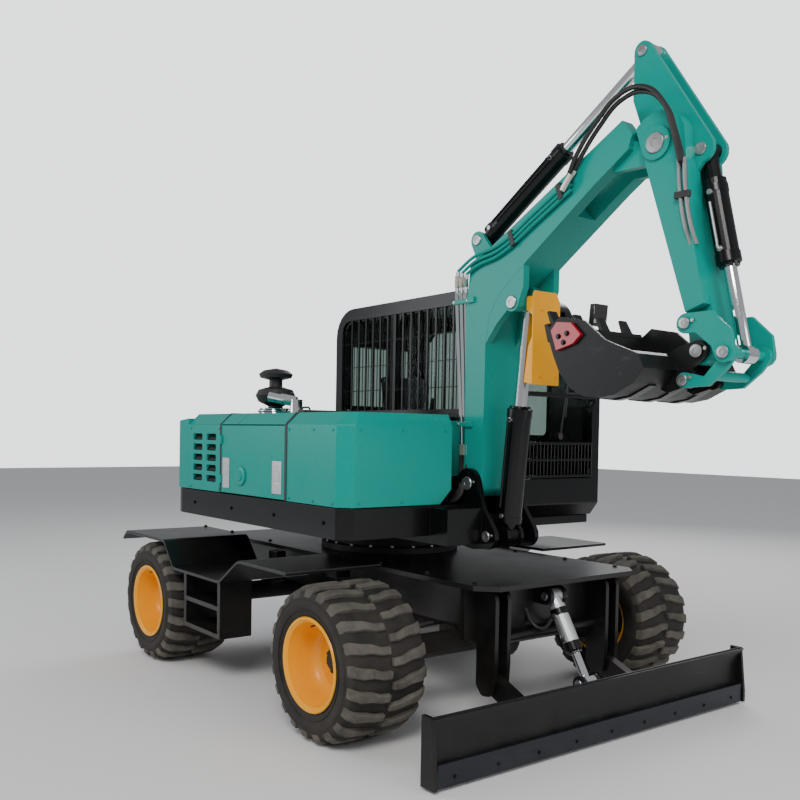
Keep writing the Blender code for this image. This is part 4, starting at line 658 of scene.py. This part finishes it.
def dress_wheels():
    """A tyre, its tread, a rim, a hub and a valve on each wheel."""
    carcass, tread = tyre_with_tread()
    dish, hub, valve = wheel_rim()
    for where in ("rear_left", "rear_right", "front_left", "front_right"):
        centre = pivot("spin_" + where)
        flip = Matrix.Rotation(0 if where.endswith("left") else math.pi, 4, "Z")
        body = "wheel_" + where
        for pattern, label, paint, stands in ((carcass, "tyre_carcass_", RUBBER, "tyre_" + where),
                (tread, "tyre_tread_", TREAD, None), (dish, "rim_dish_", YELLOW, "rim_" + where),
                (hub, "hub_nuts_", CAST, None), (valve, "valve_", TRIM, None)):
            twin = fit(twin_of(pattern, Matrix.Translation(centre) @ flip), label + where, body, paint)
            if stands:
                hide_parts(stands)
    for pattern in (carcass, tread, dish, hub, valve):
        bpy.data.objects.remove(pattern)


# ---- painted nodes ------------------------------------------------------------------------------
def paint_nodes():
    """Round the edges of the plate and shell nodes, and paint the rest as they are."""
    shaped = {"chassis_frame": (FRAME_BLACK, 0.004), "blade_bracket": (FRAME_BLACK, 0.003),
              "slew_ring": (CAST, 0.004), "platform_right": (FRAME_BLACK, 0.004),
              "platform_left": (FRAME_BLACK, 0.004), "drive_shafts": (CAST, 0.004),
              "blade_mouldboard": (BLADE_BLACK, 0.003), "blade_arms": (FRAME_BLACK, 0.004),
              "house_frame": (BLACK, 0.006), "counterweight": (TEAL, 0.012), "louvre_panel": (TEAL, 0.003),
              "service_door": (TEAL, 0.003), "hood_top": (TEAL, 0.004), "hood_lid": (TEAL, 0.004),
              "front_cover": (TEAL, 0.009), "engine": (CAST, 0.006), "cab_frame": (BLACK, 0.005),
              "cab_door": (BLACK, 0.004), "side_guard": (BLACK, 0.001), "mirror": (TRIM, 0.003),
              "boom": (TEAL, 0.005), "stick": (TEAL, 0.005), "rocker": (TEAL, 0.004),
              "bucket_link": (TEAL, 0.003), "bucket": (BLADE_BLACK, 0.003),
              "side_cutter_right": (RED, 0.003), "side_cutter_left": (RED, 0.003), "controls": (TRIM, 0.004)}
    for node, (paint, width) in shaped.items():
        refined(node, paint, width)
    plain = {"front_axle": CAST, "rear_axle": CAST, "knuckle_left": CAST, "knuckle_right": CAST,
             "tie_rod": STEEL, "pre_cleaner": TRIM, "exhaust_pipe": CHROME, "windscreen": GLASS,
             "rear_window": GLASS, "right_window": GLASS, "left_window": GLASS, "door_window": GLASS,
             "seat": SEAT_CLOTH}
    for tag, paint in (("barrel", BLACK), ("rod", CHROME)):
        for ram in ("lift", "arm", "bucket", "blade"):
            plain[f"{ram}_cylinder_{tag}"] = paint
    plain["blade_cylinder_barrel"] = SILVER
    for node, paint in plain.items():
        layers = frame["nodes"][node].data.materials
        layers.clear()
        layers.append(paint)


# ---- house trim ---------------------------------------------------------------------------------
SIDES = ((-1, "right"), (1, "left"))
HOOD_Z = 1.6105


def dress_house():
    """Seams, louvres, grips, filler cap, screws, hood fittings and lamps."""
    side_y = -1.0
    # rubber strip over the seam between the engine doors and the front cover
    seam_x = 0.3145
    strip = path((seam_x, side_y - 0.004, 1.118), (seam_x, side_y - 0.004, 1.541),
                 (seam_x, side_y + 0.072, 1.6135), (seam_x, 0.190, 1.6135), (seam_x, 0.190, HOOD_Z),
                 (seam_x, side_y + 0.0735, HOOD_Z), (seam_x, side_y - 0.0008, 1.5395),
                 (seam_x, side_y - 0.0008, 1.118))
    fit(cut_plate(strip, (0.022, 0, 0), 0.001), "seam_strip", "house", TRIM)
    thin = [Vector(point) + Vector((-0.7625, 0, 0)) for point in strip]
    fit(cut_plate(thin, (0.010, 0, 0), 0.0), "rear_seam_strip", "house", TRIM)
    # radiator core behind the louvres, near-black partly as the core's own colour and partly as painted shade
    # for the dark space inside, with slanted slats in each slot
    core = box_at(place(-0.87, -0.965, 1.15), place(-0.45, -0.95, 1.52), 0.002)
    fit(core, "radiator_core_painted_shade", "house", DARK_VOID)
    slats = []
    for column in range(2):
        for row in range(5):
            left = -0.8997 + 0.07 + column * 0.19
            low = 1.117 + 0.06 + row * 0.066
            slats.append(cut_plate(path((left, side_y + 0.006, low + 0.002),
                                        (left, side_y + 0.024, low + 0.030),
                                        (left, side_y + 0.022, low + 0.033),
                                        (left, side_y + 0.004, low + 0.005)), (0.13, 0, 0), 0))
    fit(gather(slats), "louvre_slats", "house", BLACK)
    # recessed grip plates and their latches on the service door
    for name, x0, x1 in (("rear_grip", -0.41, -0.325), ("front_grip", 0.185, 0.285)):
        plate = box_at(place(x0, side_y - 0.005, 1.150), place(x1, side_y - 0.0005, 1.335), 0.002)
        well = box_at(place(x0 + 0.018, side_y - 0.02, 1.205), place(x1 - 0.018, side_y - 0.002, 1.285),
                      0.004)
        take(plate)
        step = plate.modifiers.new("well", "BOOLEAN")
        step.operation = "DIFFERENCE"
        step.object = well
        step.solver = "EXACT"
        bpy.ops.object.modifier_apply(modifier=step.name)
        bpy.data.objects.remove(well)
        lever = box_at(place(x0 + 0.024, side_y - 0.006, 1.222), place(x1 - 0.024, side_y - 0.0022, 1.268),
                       0.0015)
        fit(gather([plate, lever]), name, "service_door_body", SILVER)
        lock = round_bar(place((x0 + x1) / 2, side_y - 0.006, 1.305),
                         place((x0 + x1) / 2, side_y - 0.0035, 1.305), 0.009, 20, 0.0008)
        fit(lock, name + "_lock", "service_door_body", ZINC)
    cap = spun([(0, 0.0), (0, 0.055), (0.004, 0.058), (0.010, 0.056), (0.013, 0.046), (0.013, 0.030),
                (0.018, 0.028), (0.018, 0.0)], place(-0.18, side_y, 1.232), (0, -1, 0), 40)
    fit(cap, "filler_cap", "service_door_body", TEAL)
    # screws along the covers' edges
    side = [place(x, side_y, z) for z in (1.135, 1.515) for x in (-0.86, -0.46, 0.36, 0.60, 0.78)]
    bolts("cover_screws", side, (0, -1, 0), 0.006, "house", TEAL)
    front = [place(0.88, y, z) for y in (-0.90, -0.62, -0.32)
             for z in (1.14, 1.52) if not (y > -0.4 and z < 1.2)]
    bolts("front_cover_screws", front, (1, 0, 0), 0.006, "house", TEAL)
    # skirt bolts, and the rubber stop and handle on the hood lid
    skirt = [place(x, side_y, 1.03) for x in (-0.80, -0.30, 0.20, 0.70)]
    bolts("skirt_bolts", skirt, (0, -1, 0), 0.009, "house", BLACK)
    stop = box_at(place(0.22, -0.86, HOOD_Z), place(0.285, -0.62, 1.628), 0.006, 3)
    fit(stop, "hood_stop", "hood_lid_body", TRIM)
    handle = run_of_pipe(path((0.02, -0.70, 1.611), (0.02, -0.70, 1.640), (0.06, -0.70, 1.648),
                              (0.10, -0.70, 1.640), (0.10, -0.70, 1.611)), 0.006)
    fit(handle, "hood_handle", "hood_lid_body", TRIM)
    # clamp rings under the pre-cleaner, counterweight bolts and tail lamps
    for n, (radius, height) in enumerate(((0.106, 0.012), (0.112, 0.026), (0.100, 0.040))):
        clamp = round_bead(radius, 0.007, major_segments=48, minor_segments=10,
                           location=place(-0.62, -0.50, HOOD_Z + height))
        fit(clamp, f"intake_clamp_{n}", "house", CHROME)
    weight = [place(-1.02, y, 1.6005) for y in (-0.75, -0.25)]
    bolts("counterweight_bolts", weight, (0, 0, 1), 0.013, "house", BLACK)
    for side, label in SIDES:
        bezel = spun([(0, 0.0), (0, 0.042), (0.012, 0.042), (0.016, 0.036), (0.012, 0.032), (0.010, 0.0)],
                     place(-1.141, side * 0.82, 1.24), (-1, 0, 0), 32)
        fit(bezel, f"tail_lamp_{label}", "house", RED)


# ---- cab trim -----------------------------------------------------------------------------------
def window_seal(name, outline, body, size=0.007):
    """A rubber bead round a window opening."""
    loop = list(outline) + [outline[0]]
    bead = run_of_pipe(loop, size, 2, smooth=False)
    return fit(bead, name, body, TRIM)


def dress_cab():
    """Side guard, screen guard, wiper, seals, handrail, hatch and mirror glass."""
    left = 1.0303
    wires = [round_bar(place(-0.835 + 0.034 * n, 0.206, 1.64),
                       place(-0.835 + 0.034 * n, 0.206, 2.30 if n > 2 else 2.24), 0.0032, 6)
             for n in range(39)]
    wires += [round_bar(place(-0.84, 0.2035, z), place(0.47, 0.2035, z), 0.003, 6)
              for z in (1.80, 1.97, 2.14)]
    fit(gather(wires), "side_guard_wires", "house", BLACK)
    # the bar across the screen and the grid guard below it
    bar = box_at(place(0.846, 0.285, 1.735), place(0.872, 0.96, 1.765), 0.006, 3)
    fit(bar, "screen_bar", "house", BLACK)
    for y in (0.285, 0.96):
        foot = box_at(place(0.836, y - 0.012, 1.70), place(0.868, y + 0.012, 1.80), 0.004)
        fit(foot, f"screen_bar_foot_{int(y * 100)}", "house", BLACK)
    rails = [box_at(place(0.850, 0.30, z - 0.008), place(0.862, 0.945, z + 0.008), 0.002)
             for z in (1.255, 1.355, 1.455)]
    rails += [round_bar(place(0.857, 0.31 + 0.0312 * n, 1.25), place(0.857, 0.31 + 0.0312 * n, 1.46), 0.004,
                        8) for n in range(21)]
    rails += [box_at(place(0.836, y - 0.01, 1.27), place(0.858, y + 0.01, 1.30), 0.002)
              for y in (0.33, 0.915)]
    fit(gather(rails), "screen_guard", "house", BLACK)
    # wiper: arm, blade and motor cap
    arm = run_of_pipe(path((0.856, 0.64, 1.50), (0.862, 0.66, 1.66), (0.853, 0.70, 1.86)), 0.006)
    blade = run_of_pipe(path((0.850, 0.69, 1.62), (0.851, 0.70, 1.80), (0.790, 0.715, 1.95)), 0.0055)
    cap = round_bar(place(0.840, 0.64, 1.50), place(0.862, 0.64, 1.50), 0.022, 24, 0.003)
    fit(gather([arm, blade, cap]), "wiper", "house", TRIM)
    # seals
    door = ((-0.14, 1.50), (0.42, 1.50), (0.42, 2.15), (-0.14, 2.17))
    window_seal("door_seal", [place(x, left + 0.001, z) for x, z in door], "cab_door_body")
    side = ((-0.83, 1.62), (-0.32, 1.62), (-0.32, 2.28), (-0.76, 2.28), (-0.83, 2.21))
    window_seal("left_seal", [place(x, left + 0.001, z) for x, z in side], "house")
    rear = ((0.335, 1.70), (0.91, 1.70), (0.91, 2.15), (0.335, 2.15))
    window_seal("rear_seal", [place(-0.941, y, z) for y, z in rear], "house")
    # handrail by the door, hatch, door pull and mirror glass
    rail = run_of_pipe(path((0.60, left, 1.30), (0.60, left + 0.045, 1.33), (0.60, left + 0.05, 1.60),
                            (0.575, left + 0.045, 1.90), (0.57, left, 1.93)), 0.010)
    fit(rail, "door_handrail", "house", BLACK)
    hatch = box_at(place(-0.62, 0.36, 2.3985), place(0.10, 0.89, 2.3998), 0.0005)
    fit(hatch, "roof_hatch", "house", TRIM)
    pull = box_at(place(0.435, left + 0.001, 1.385), place(0.475, left + 0.026, 1.425), 0.006, 3)
    fit(pull, "door_pull", "cab_door_body", TRIM)
    glass = box_at(place(0.7545, 1.055, 2.235), place(0.7565, 1.175, 2.35), 0.002)
    fit(glass, "mirror_glass", "house", CHROME)


# ---- seat ---------------------------------------------------------------------------------------
def inflate(piece, pressure, cap, voxel=0.008):
    """Remesh a pad and let it fill out with cloth pressure, with each point's travel capped."""
    take(piece)
    skin = piece.modifiers.new("skin", "REMESH")
    skin.mode = "VOXEL"
    skin.voxel_size = voxel
    bpy.ops.object.modifier_apply(modifier=skin.name)
    before = [vertex.co.copy() for vertex in piece.data.vertices]
    cloth = piece.modifiers.new("fill", "CLOTH")
    cloth.settings.use_pressure = True
    cloth.settings.uniform_pressure_force = pressure
    cloth.settings.quality = 5
    cloth.settings.effector_weights.gravity = 0
    cloth.point_cache.frame_start = 1
    cloth.point_cache.frame_end = 16
    for moment in range(1, 17):
        bpy.context.scene.frame_set(moment)
    graph = bpy.context.evaluated_depsgraph_get()
    after = [vertex.co.copy() for vertex in piece.evaluated_get(graph).data.vertices]
    piece.modifiers.remove(cloth)
    bpy.context.scene.frame_set(1)
    for vertex, old, new in zip(piece.data.vertices, before, after):
        move = new - old
        vertex.co = old + (move if move.length <= cap else move.normalized() * cap)
    return piece


def dress_seat():
    """Seat base with a padded cushion and back."""
    z = 1.0403
    x, y = -0.38, 0.62
    base = box_at(place(x - 0.16, y - 0.16, z + 0.002), place(x + 0.18, y + 0.16, z + 0.215), 0.02, 3)
    fit(base, "seat_base", "house", TRIM)
    cushion = box_at(place(x - 0.205, y - 0.215, z + 0.235), place(x + 0.255, y + 0.215, z + 0.315), 0.03, 3)
    inflate(cushion, 3.5, 0.014)
    fit(cushion, "seat_cushion", "house", SEAT_CLOTH, smooth=80)
    lean = cut_plate(path((x - 0.235, y - 0.195, z + 0.30), (x - 0.150, y - 0.195, z + 0.31),
                          (x - 0.235, y - 0.195, z + 0.89), (x - 0.315, y - 0.195, z + 0.88)), (0, 0.39, 0),
                     0.025)
    inflate(lean, 3.5, 0.012)
    fit(lean, "seat_back", "house", SEAT_CLOTH, smooth=80)
    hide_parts("seat")


# ---- arm trim -----------------------------------------------------------------------------------
# the foot pin and the rod pin of each ram, as (x, z) from the slew axis
LIFT_ENDS = (1.055, 0.948), (1.18, 2.206)
ARM_ENDS = (0.83, 2.60), (1.905, 3.30)
BUCKET_ENDS = (2.22, 2.77), (2.42, 1.862)
BLADE_ENDS = (1.385, 0.665), (1.62, 0.26)


def upright(pin):
    """A pin's (x, z) from the slew axis, as a point on the middle plane."""
    return place(pin[0], 0, pin[1])


def pin_heads(name, spot, half, radius, body):
    """The turned heads on both ends of a cross pin."""
    head = [(0, 0.0), (0, radius), (0.005, radius), (0.008, radius - 0.003), (0.009, radius * 0.4),
            (0.006, radius * 0.35), (0.006, 0.0)]
    heads = [spun(head, (spot.x, side * half, spot.z), (0, side, 0), 28) for side in (-1, 1)]
    fit(gather(heads), name, body, STEEL)


def dress_arm():
    """Pipes, hoses and pin heads along the boom and stick."""
    near = -0.1415
    # three steel pipes lean back behind the boom's leg, then painted runs follow its upper leg
    for n in range(3):
        y = near - 0.016
        top, bottom = 0.740 + 0.036 * n, 0.802 + 0.026 * n
        lower = run_of_pipe(path((bottom, -0.125, 1.42), (bottom - 0.003, -0.125, 1.50),
                                 (top + 0.004, -0.125, 2.22), (top + 0.004, -0.130, 2.31),
                                 (top + 0.040, y, 2.42 - 0.012 * n)), 0.0115)
        fit(lower, f"steel_pipe_{n}", "boom_body", CHROME)
        upper = run_of_pipe(path((top + 0.040, y, 2.42 - 0.012 * n),
                                 (0.90 + 0.012 * n, y, 2.480 - 0.026 * n), (1.10, y, 2.520 - 0.028 * n),
                                 (1.35, y, 2.645 - 0.028 * n), (1.58, y, 2.765 - 0.028 * n)), 0.0095)
        fit(upper, f"boom_pipe_{n}", "boom_body", TEAL)
        nut = round_bar(place(bottom, -0.125, 1.385), place(bottom, -0.125, 1.445), 0.0165, 6)
        joint = round_bar(place(top + 0.008, -0.134, 2.335), place(top + 0.030, y + 0.004,
                          2.395 - 0.010 * n), 0.0155, 6)
        fit(gather([nut, joint]), f"pipe_nuts_{n}", "boom_body", ZINC)
    for z, back in ((1.56, 0.775), (2.25, 0.722)):
        strap = box_at(place(back, -0.145, z - 0.012), place(0.875, -0.105, z + 0.012), 0.004)
        arm = box_at(place(0.850, -0.155, z - 0.016), place(0.905, -0.135, z + 0.016), 0.003)
        fit(gather([strap, arm]), f"pipe_clamp_{int(z * 100)}", "boom_body", TEAL)
    bolts("pipe_clamp_bolts", [place(x, -0.145, z) for x, z in ((0.790, 1.56), (0.846, 1.56), (0.737, 2.25),
                               (0.846, 2.25))], (0, -1, 0), 0.006, "boom_body")
    for k, (x, z) in enumerate(((1.18, 2.515), (1.50, 2.692))):
        plate = cut_plate(path((x - 0.016, near - 0.028, z + 0.055), (x + 0.012, near - 0.028, z + 0.068),
                               (x + 0.040, near - 0.028, z - 0.010), (x + 0.012, near - 0.028, z - 0.024)),
                          (0, 0.029, 0), 0.003)
        fit(plate, f"boom_pipe_clamp_{k}", "boom_body", TRIM)
    # hoses from the painted runs over the boom's tip to the stick
    for n in range(2):
        y = near - 0.018 - 0.024 * n
        rise = 0.016 * n
        hose = run_of_pipe(path((1.56, y + 0.004, 2.755 - 0.028 * n), (1.63, y, 2.842 + rise),
                                (1.74, y, 2.965 + rise), (1.88, y - 0.012, 3.055 + rise),
                                (2.02, y - 0.020, 3.050 + rise), (2.12, y - 0.016, 2.955 + rise),
                                (2.165, y - 0.006, 2.83 + rise), (2.195, y + 0.010, 2.70)), 0.0115)
        fit(hose, f"stick_hose_{n}", None, HOSE)
        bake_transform(hose, "boom_body", "stick_body", start=place(1.78, y, 2.96), end=place(2.13, y, 2.88))
        cuff = round_bar(place(1.545, y + 0.004, 2.738 - 0.028 * n),
                         place(1.60, y + 0.002, 2.800 - 0.024 * n), 0.0155, 6)
        fit(cuff, f"stick_hose_cuff_{n}", "boom_body", ZINC)
    # stick pipes down to the bucket cylinder's ports
    for n, x in enumerate((2.196, 2.168)):
        y = near - 0.010
        pipe = run_of_pipe(path((x + 0.004, y, 2.72), (x + 0.012, y, 2.60), (x + 0.045, y, 2.42),
                                (x + 0.062, y + 0.02, 2.34)), 0.009)
        fit(pipe, f"stick_pipe_{n}", "stick_body", STEEL)
    clamp = box_at(place(2.160, near - 0.024, 2.545), place(2.232, near + 0.001, 2.575), 0.004)
    fit(clamp, "stick_pipe_clamp", "stick_body", TRIM)
    # hoses across the boom's foot, in slack loops down to the house
    for n in range(3):
        x = 0.802 + 0.026 * n
        y = -0.125
        hose = run_of_pipe(path((x, y, 1.40), (x + 0.002, y - 0.004, 1.33),
                                (x + 0.012, y - 0.024 - 0.010 * n, 1.23),
                                (x + 0.012, y - 0.044 - 0.012 * n, 1.16),
                                (x - 0.03, y - 0.060 - 0.015 * n, 1.125),
                                (x - 0.10, y - 0.066 - 0.018 * n, 1.127),
                                (x - 0.17, y - 0.06 - 0.018 * n, 1.130)), 0.0125)
        fit(hose, f"foot_hose_{n}", None, HOSE)
        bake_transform(hose, "boom_body", "house", start=place(x, y, 1.37), end=place(x, y - 0.05, 1.14))
    # pin heads, with a keeper bolt beside each pin that a joint turns on
    for name, joint, half, radius, body in (("boom_foot_pin", "boom_lift", 0.1712, 0.038, "house"),
            ("lift_foot_pin", "lift_barrel_swing", 0.1712, 0.030, "house"),
            ("stick_pin", "stick_swing", 0.1522, 0.046, "stick_body"),
            ("rocker_pin", "rocker_swing", 0.1765, 0.026, "rocker_body"),
            ("bucket_pin", "bucket_curl", 0.1195, 0.030, "bucket_body"),
            ("link_pin", "link_swing", 0.1512, 0.026, "link_body")):
        spot = pivot(joint)
        pin_heads(name, spot, half, radius, body)
        bolts(name + "_keepers", [(spot.x + radius + 0.012, -half, spot.z + 0.010)], (0, -1, 0), 0.006, body)
    for name, pin, half, radius, body in (("lift_rod_pin", LIFT_ENDS[1], 0.1405, 0.034, "boom_body"),
            ("arm_foot_pin", ARM_ENDS[0], 0.0632, 0.030, "boom_body"),
            ("arm_rod_pin", ARM_ENDS[1], 0.0632, 0.026, "stick_body"),
            ("bucket_ram_pin", BUCKET_ENDS[0], 0.0632, 0.028, "stick_body"),
            ("link_end_pin", BUCKET_ENDS[1], 0.1765, 0.027, "rocker_body"),
            ("blade_ram_pin", BLADE_ENDS[0], 0.0632, 0.022, "base"),
            ("blade_rod_pin", BLADE_ENDS[1], 0.0632, 0.022, "blade_body")):
        pin_heads(name, upright(pin), half, radius, body)


def dress_guard():
    """Yellow shield over the lift rod: a face plate, its folds and two tabs up to the boom's belly."""
    low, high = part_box("rod_guard")
    face_x = high.x - 0.012
    right, left = -0.080, high.y
    top = high.z - 0.135
    face = cut_plate([(face_x, right, low.z), (face_x, left, low.z), (face_x, left, top - 0.05),
                      (face_x, left - 0.03, top), (face_x, right + 0.01, top), (face_x, right, top - 0.02)],
                     (0.009, 0, 0), 0.003)
    near_fold = cut_plate([(face_x - 0.050, right, low.z + 0.015), (face_x + 0.004, right, low.z + 0.002),
                           (face_x + 0.004, right, low.z + 0.26), (face_x - 0.024, right, low.z + 0.20)],
                          (0, 0.007, 0), 0.002)
    upper_fold = cut_plate([(face_x - 0.040, right, top - 0.10), (face_x + 0.004, right, top - 0.13),
                            (face_x + 0.004, right, top - 0.03), (face_x - 0.040, right, top - 0.03)],
                           (0, 0.007, 0), 0.002)
    far_fold = cut_plate([(low.x + 0.010, left, low.z + 0.03), (face_x + 0.004, left, low.z + 0.002),
                          (face_x + 0.004, left, top - 0.07), (face_x - 0.030, left, top - 0.11)],
                         (0, -0.008, 0), 0.002)
    tabs = [box_at((low.x + 0.050, y - 0.02, top - 0.042), (face_x + 0.003, y + 0.02, top - 0.030), 0.002)
            for y in (-0.05, 0.09)]
    shield = fit(gather([face, near_fold, upper_fold, far_fold, *tabs]), "rod_shield", "boom_body", YELLOW)
    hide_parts("rod_guard")
    bolts("shield_bolts", [(face_x + 0.009, y, low.z + rise) for y in (-0.02, 0.10)
                           for rise in (0.05, 0.40)], (1, 0, 0), 0.008, "boom_body", YELLOW)


def dress_rams():
    """Gland rings, end ports and feed pipes on each hydraulic cylinder."""
    rams = (("lift", LIFT_ENDS, 0.70, 0.065, 0.036, 0.05, "lift_barrel_body"),
            ("arm", ARM_ENDS, 0.68, 0.052, 0.030, 0.042, "arm_barrel_body"),
            ("bucket", BUCKET_ENDS, 0.52, 0.050, 0.028, 0.14, "bucket_barrel_body"),
            ("blade", BLADE_ENDS, 0.30, 0.042, 0.022, 0.05, "blade_barrel_body"))
    across = Vector((0, -1, 0))
    for name, (foot, far), length, radius, rod, start, body in rams:
        a = upright(foot)
        way = (upright(far) - a).normalized()
        gland = a + way * length
        collar = spun([(-0.045, radius * 0.97), (-0.045, radius + 0.0035), (0.0, radius + 0.0035),
                       (0.004, radius * 0.9), (0.016, radius * 0.86), (0.016, rod + 0.0015),
                       (0.010, rod + 0.0015), (0.0, radius * 0.8)], gland, way, 40)
        fit(collar, name + "_gland", body, BLACK)
        base = spun([(0.0, radius * 0.9), (0.0, radius + 0.003), (0.035, radius + 0.003),
                     (0.038, radius * 0.9)], a + way * (start + 0.025), way, 40)
        fit(base, name + "_base_ring", body, BLACK)
        low_port = a + way * (start + 0.06) + across * radius
        high_port = gland - way * 0.06 + across * radius
        ports = [round_bar(port - across * 0.006, port + across * 0.010, 0.013, 16, 0.002)
                 for port in (low_port, high_port)]
        fit(gather(ports), name + "_ports", body, STEEL)
        out = across * 0.018
        feed_run = run_of_pipe([high_port + across * 0.008, high_port + out,
                                high_port + out * 1.05 - way * 0.03, low_port + out * 1.05 + way * 0.08,
                                low_port + out * 1.05 + way * 0.05], 0.0065)
        fit(feed_run, name + "_feed", body, BLACK if name != "bucket" else STEEL)


# ---- bucket, blade and undercarriage ------------------------------------------------------------
def dress_bucket():
    """Cutter bolts and wear straps."""
    for side, label in SIDES:
        spots = [place(x, side * 0.3805, z) for x, z in ((1.715, 1.965), (1.765, 1.975), (1.745, 1.935))]
        bolts(f"cutter_bolts_{label}", spots, (0, side, 0), 0.010, "bucket_body", BLACK)
    inner = [(1.705, 1.80), (1.77, 1.725), (1.85, 1.683), (1.935, 1.674), (2.02, 1.688), (2.12, 1.735)]
    outer = [(x - 0.004 if x < 1.8 else x, z - 0.007) for x, z in inner]
    straps = [cut_plate([place(x, y - 0.025, z) for x, z in inner + outer[::-1]], (0, 0.05, 0), 0.002)
              for y in (-0.22, 0.0, 0.22)]
    fit(gather(straps), "bucket_wear_straps", "bucket_body", BLACK)


def dress_blade():
    """Cutting edge with its bolts, and the bead along the top."""
    x, z = 1.777, 0.015
    edge = box_at(place(x - 0.016, -1.14, z + 0.001), place(x + 0.004, 1.14, z + 0.105), 0.004)
    fit(edge, "cutting_edge", "blade_body", EDGE_BLUE)
    spots = [place(x + 0.004, -1.04 + 0.26 * n, z + 0.040) for n in range(9)]
    bolts("cutting_edge_bolts", spots, (1, 0, 0), 0.007, "blade_body", BLADE_BLACK)
    lip = round_bar(place(x - 0.018, -1.150, 0.311), place(x - 0.018, 1.150, 0.311), 0.010, 16)
    fit(lip, "blade_top_bead", "blade_body", BLADE_BLACK)


def dress_undercarriage():
    """Ring, case, deck and platform bolts, brake lines, ladder grips, hoses and kingpin caps."""
    around = [math.tau * n / 20 for n in range(20)]
    ring = [place(0.415 * math.cos(turn), 0.415 * math.sin(turn), 0.811) for turn in around]
    bolts("slew_ring_bolts", ring, (0, 0, 1), 0.010, "base")
    for x, label in ((0.985, "front"), (-0.925, "rear")):
        around = [math.tau * n / 8 for n in range(8)]
        circle = [place(x + 0.088 * math.cos(turn), 0.074, 0.385 + 0.088 * math.sin(turn)) for turn in around]
        bolts(f"{label}_case_bolts", circle, (0, 1, 0), 0.008, "base", STEEL)
        line = ((-0.05, -0.70, 0.45), (-0.06, -0.45, 0.475), (-0.05, -0.2, 0.485), (-0.04, 0.0, 0.54),
                (-0.05, 0.2, 0.485), (-0.06, 0.45, 0.475), (-0.05, 0.70, 0.45))
        fit(run_of_pipe([place(x + back, y, z) for back, y, z in line], 0.007), f"{label}_brake_line",
            "base", HOSE)
    deck = [place(x, y, 0.7695) for x in (-1.10, -0.6, 0.60, 1.00, 1.36) for y in (-0.54, 0.54)]
    bolts("deck_bolts", deck, (0, 0, 1), 0.011, "base", FRAME_BLACK)
    for side, label in SIDES:
        platform = [place(x, side * 0.665, 0.8055) for x in (-1.30, -0.90)]
        bolts(f"platform_bolts_{label}", platform, (0, 0, 1), 0.011, "base", FRAME_BLACK)
        grips = [box_at(place(-0.44, side * 1.225 - 0.012, z),
                        place(-0.06, side * 1.225 + 0.012, z + 0.006), 0.001) for z in (0.3302, 0.4902)]
        fit(gather(grips), f"ladder_grips_{label}", "base", FRAME_BLACK)
    # hoses from the deck to the blade cylinder and steering
    for n, y in enumerate((-0.075, 0.085)):
        hose = run_of_pipe(path((1.30, y * 1.6, 0.60), (1.335, y * 1.3, 0.52), (1.39, y, 0.50),
                                (1.425, y * 0.62, 0.555)), 0.010)
        fit(hose, f"blade_hose_{n}", "base", HOSE)
    for n, y in enumerate((-0.31, -0.25, 0.25, 0.31)):
        hose = run_of_pipe(path((1.285, y, 0.58), (1.24, y * 1.02, 0.44), (1.12, y * 1.10, 0.42),
                                (1.06, y * 1.2, 0.50)), 0.011)
        fit(hose, f"axle_hose_{n}", "base", HOSE)
    cap = [(0, 0.0), (0, 0.040), (0.008, 0.038), (0.014, 0.026), (0.016, 0.0)]
    for label in ("left", "right"):
        spot = pivot("steer_" + label)
        caps = [spun(cap, (spot.x, spot.y, spot.z + up * 0.1303), (0, 0, up), 24) for up in (-1, 1)]
        fit(gather(caps), f"kingpin_caps_{label}", "base", STEEL)


dress_wheels()
paint_nodes()
dress_house()
dress_cab()
dress_seat()
dress_arm()
dress_guard()
dress_rams()
dress_bucket()
dress_blade()
dress_undercarriage()
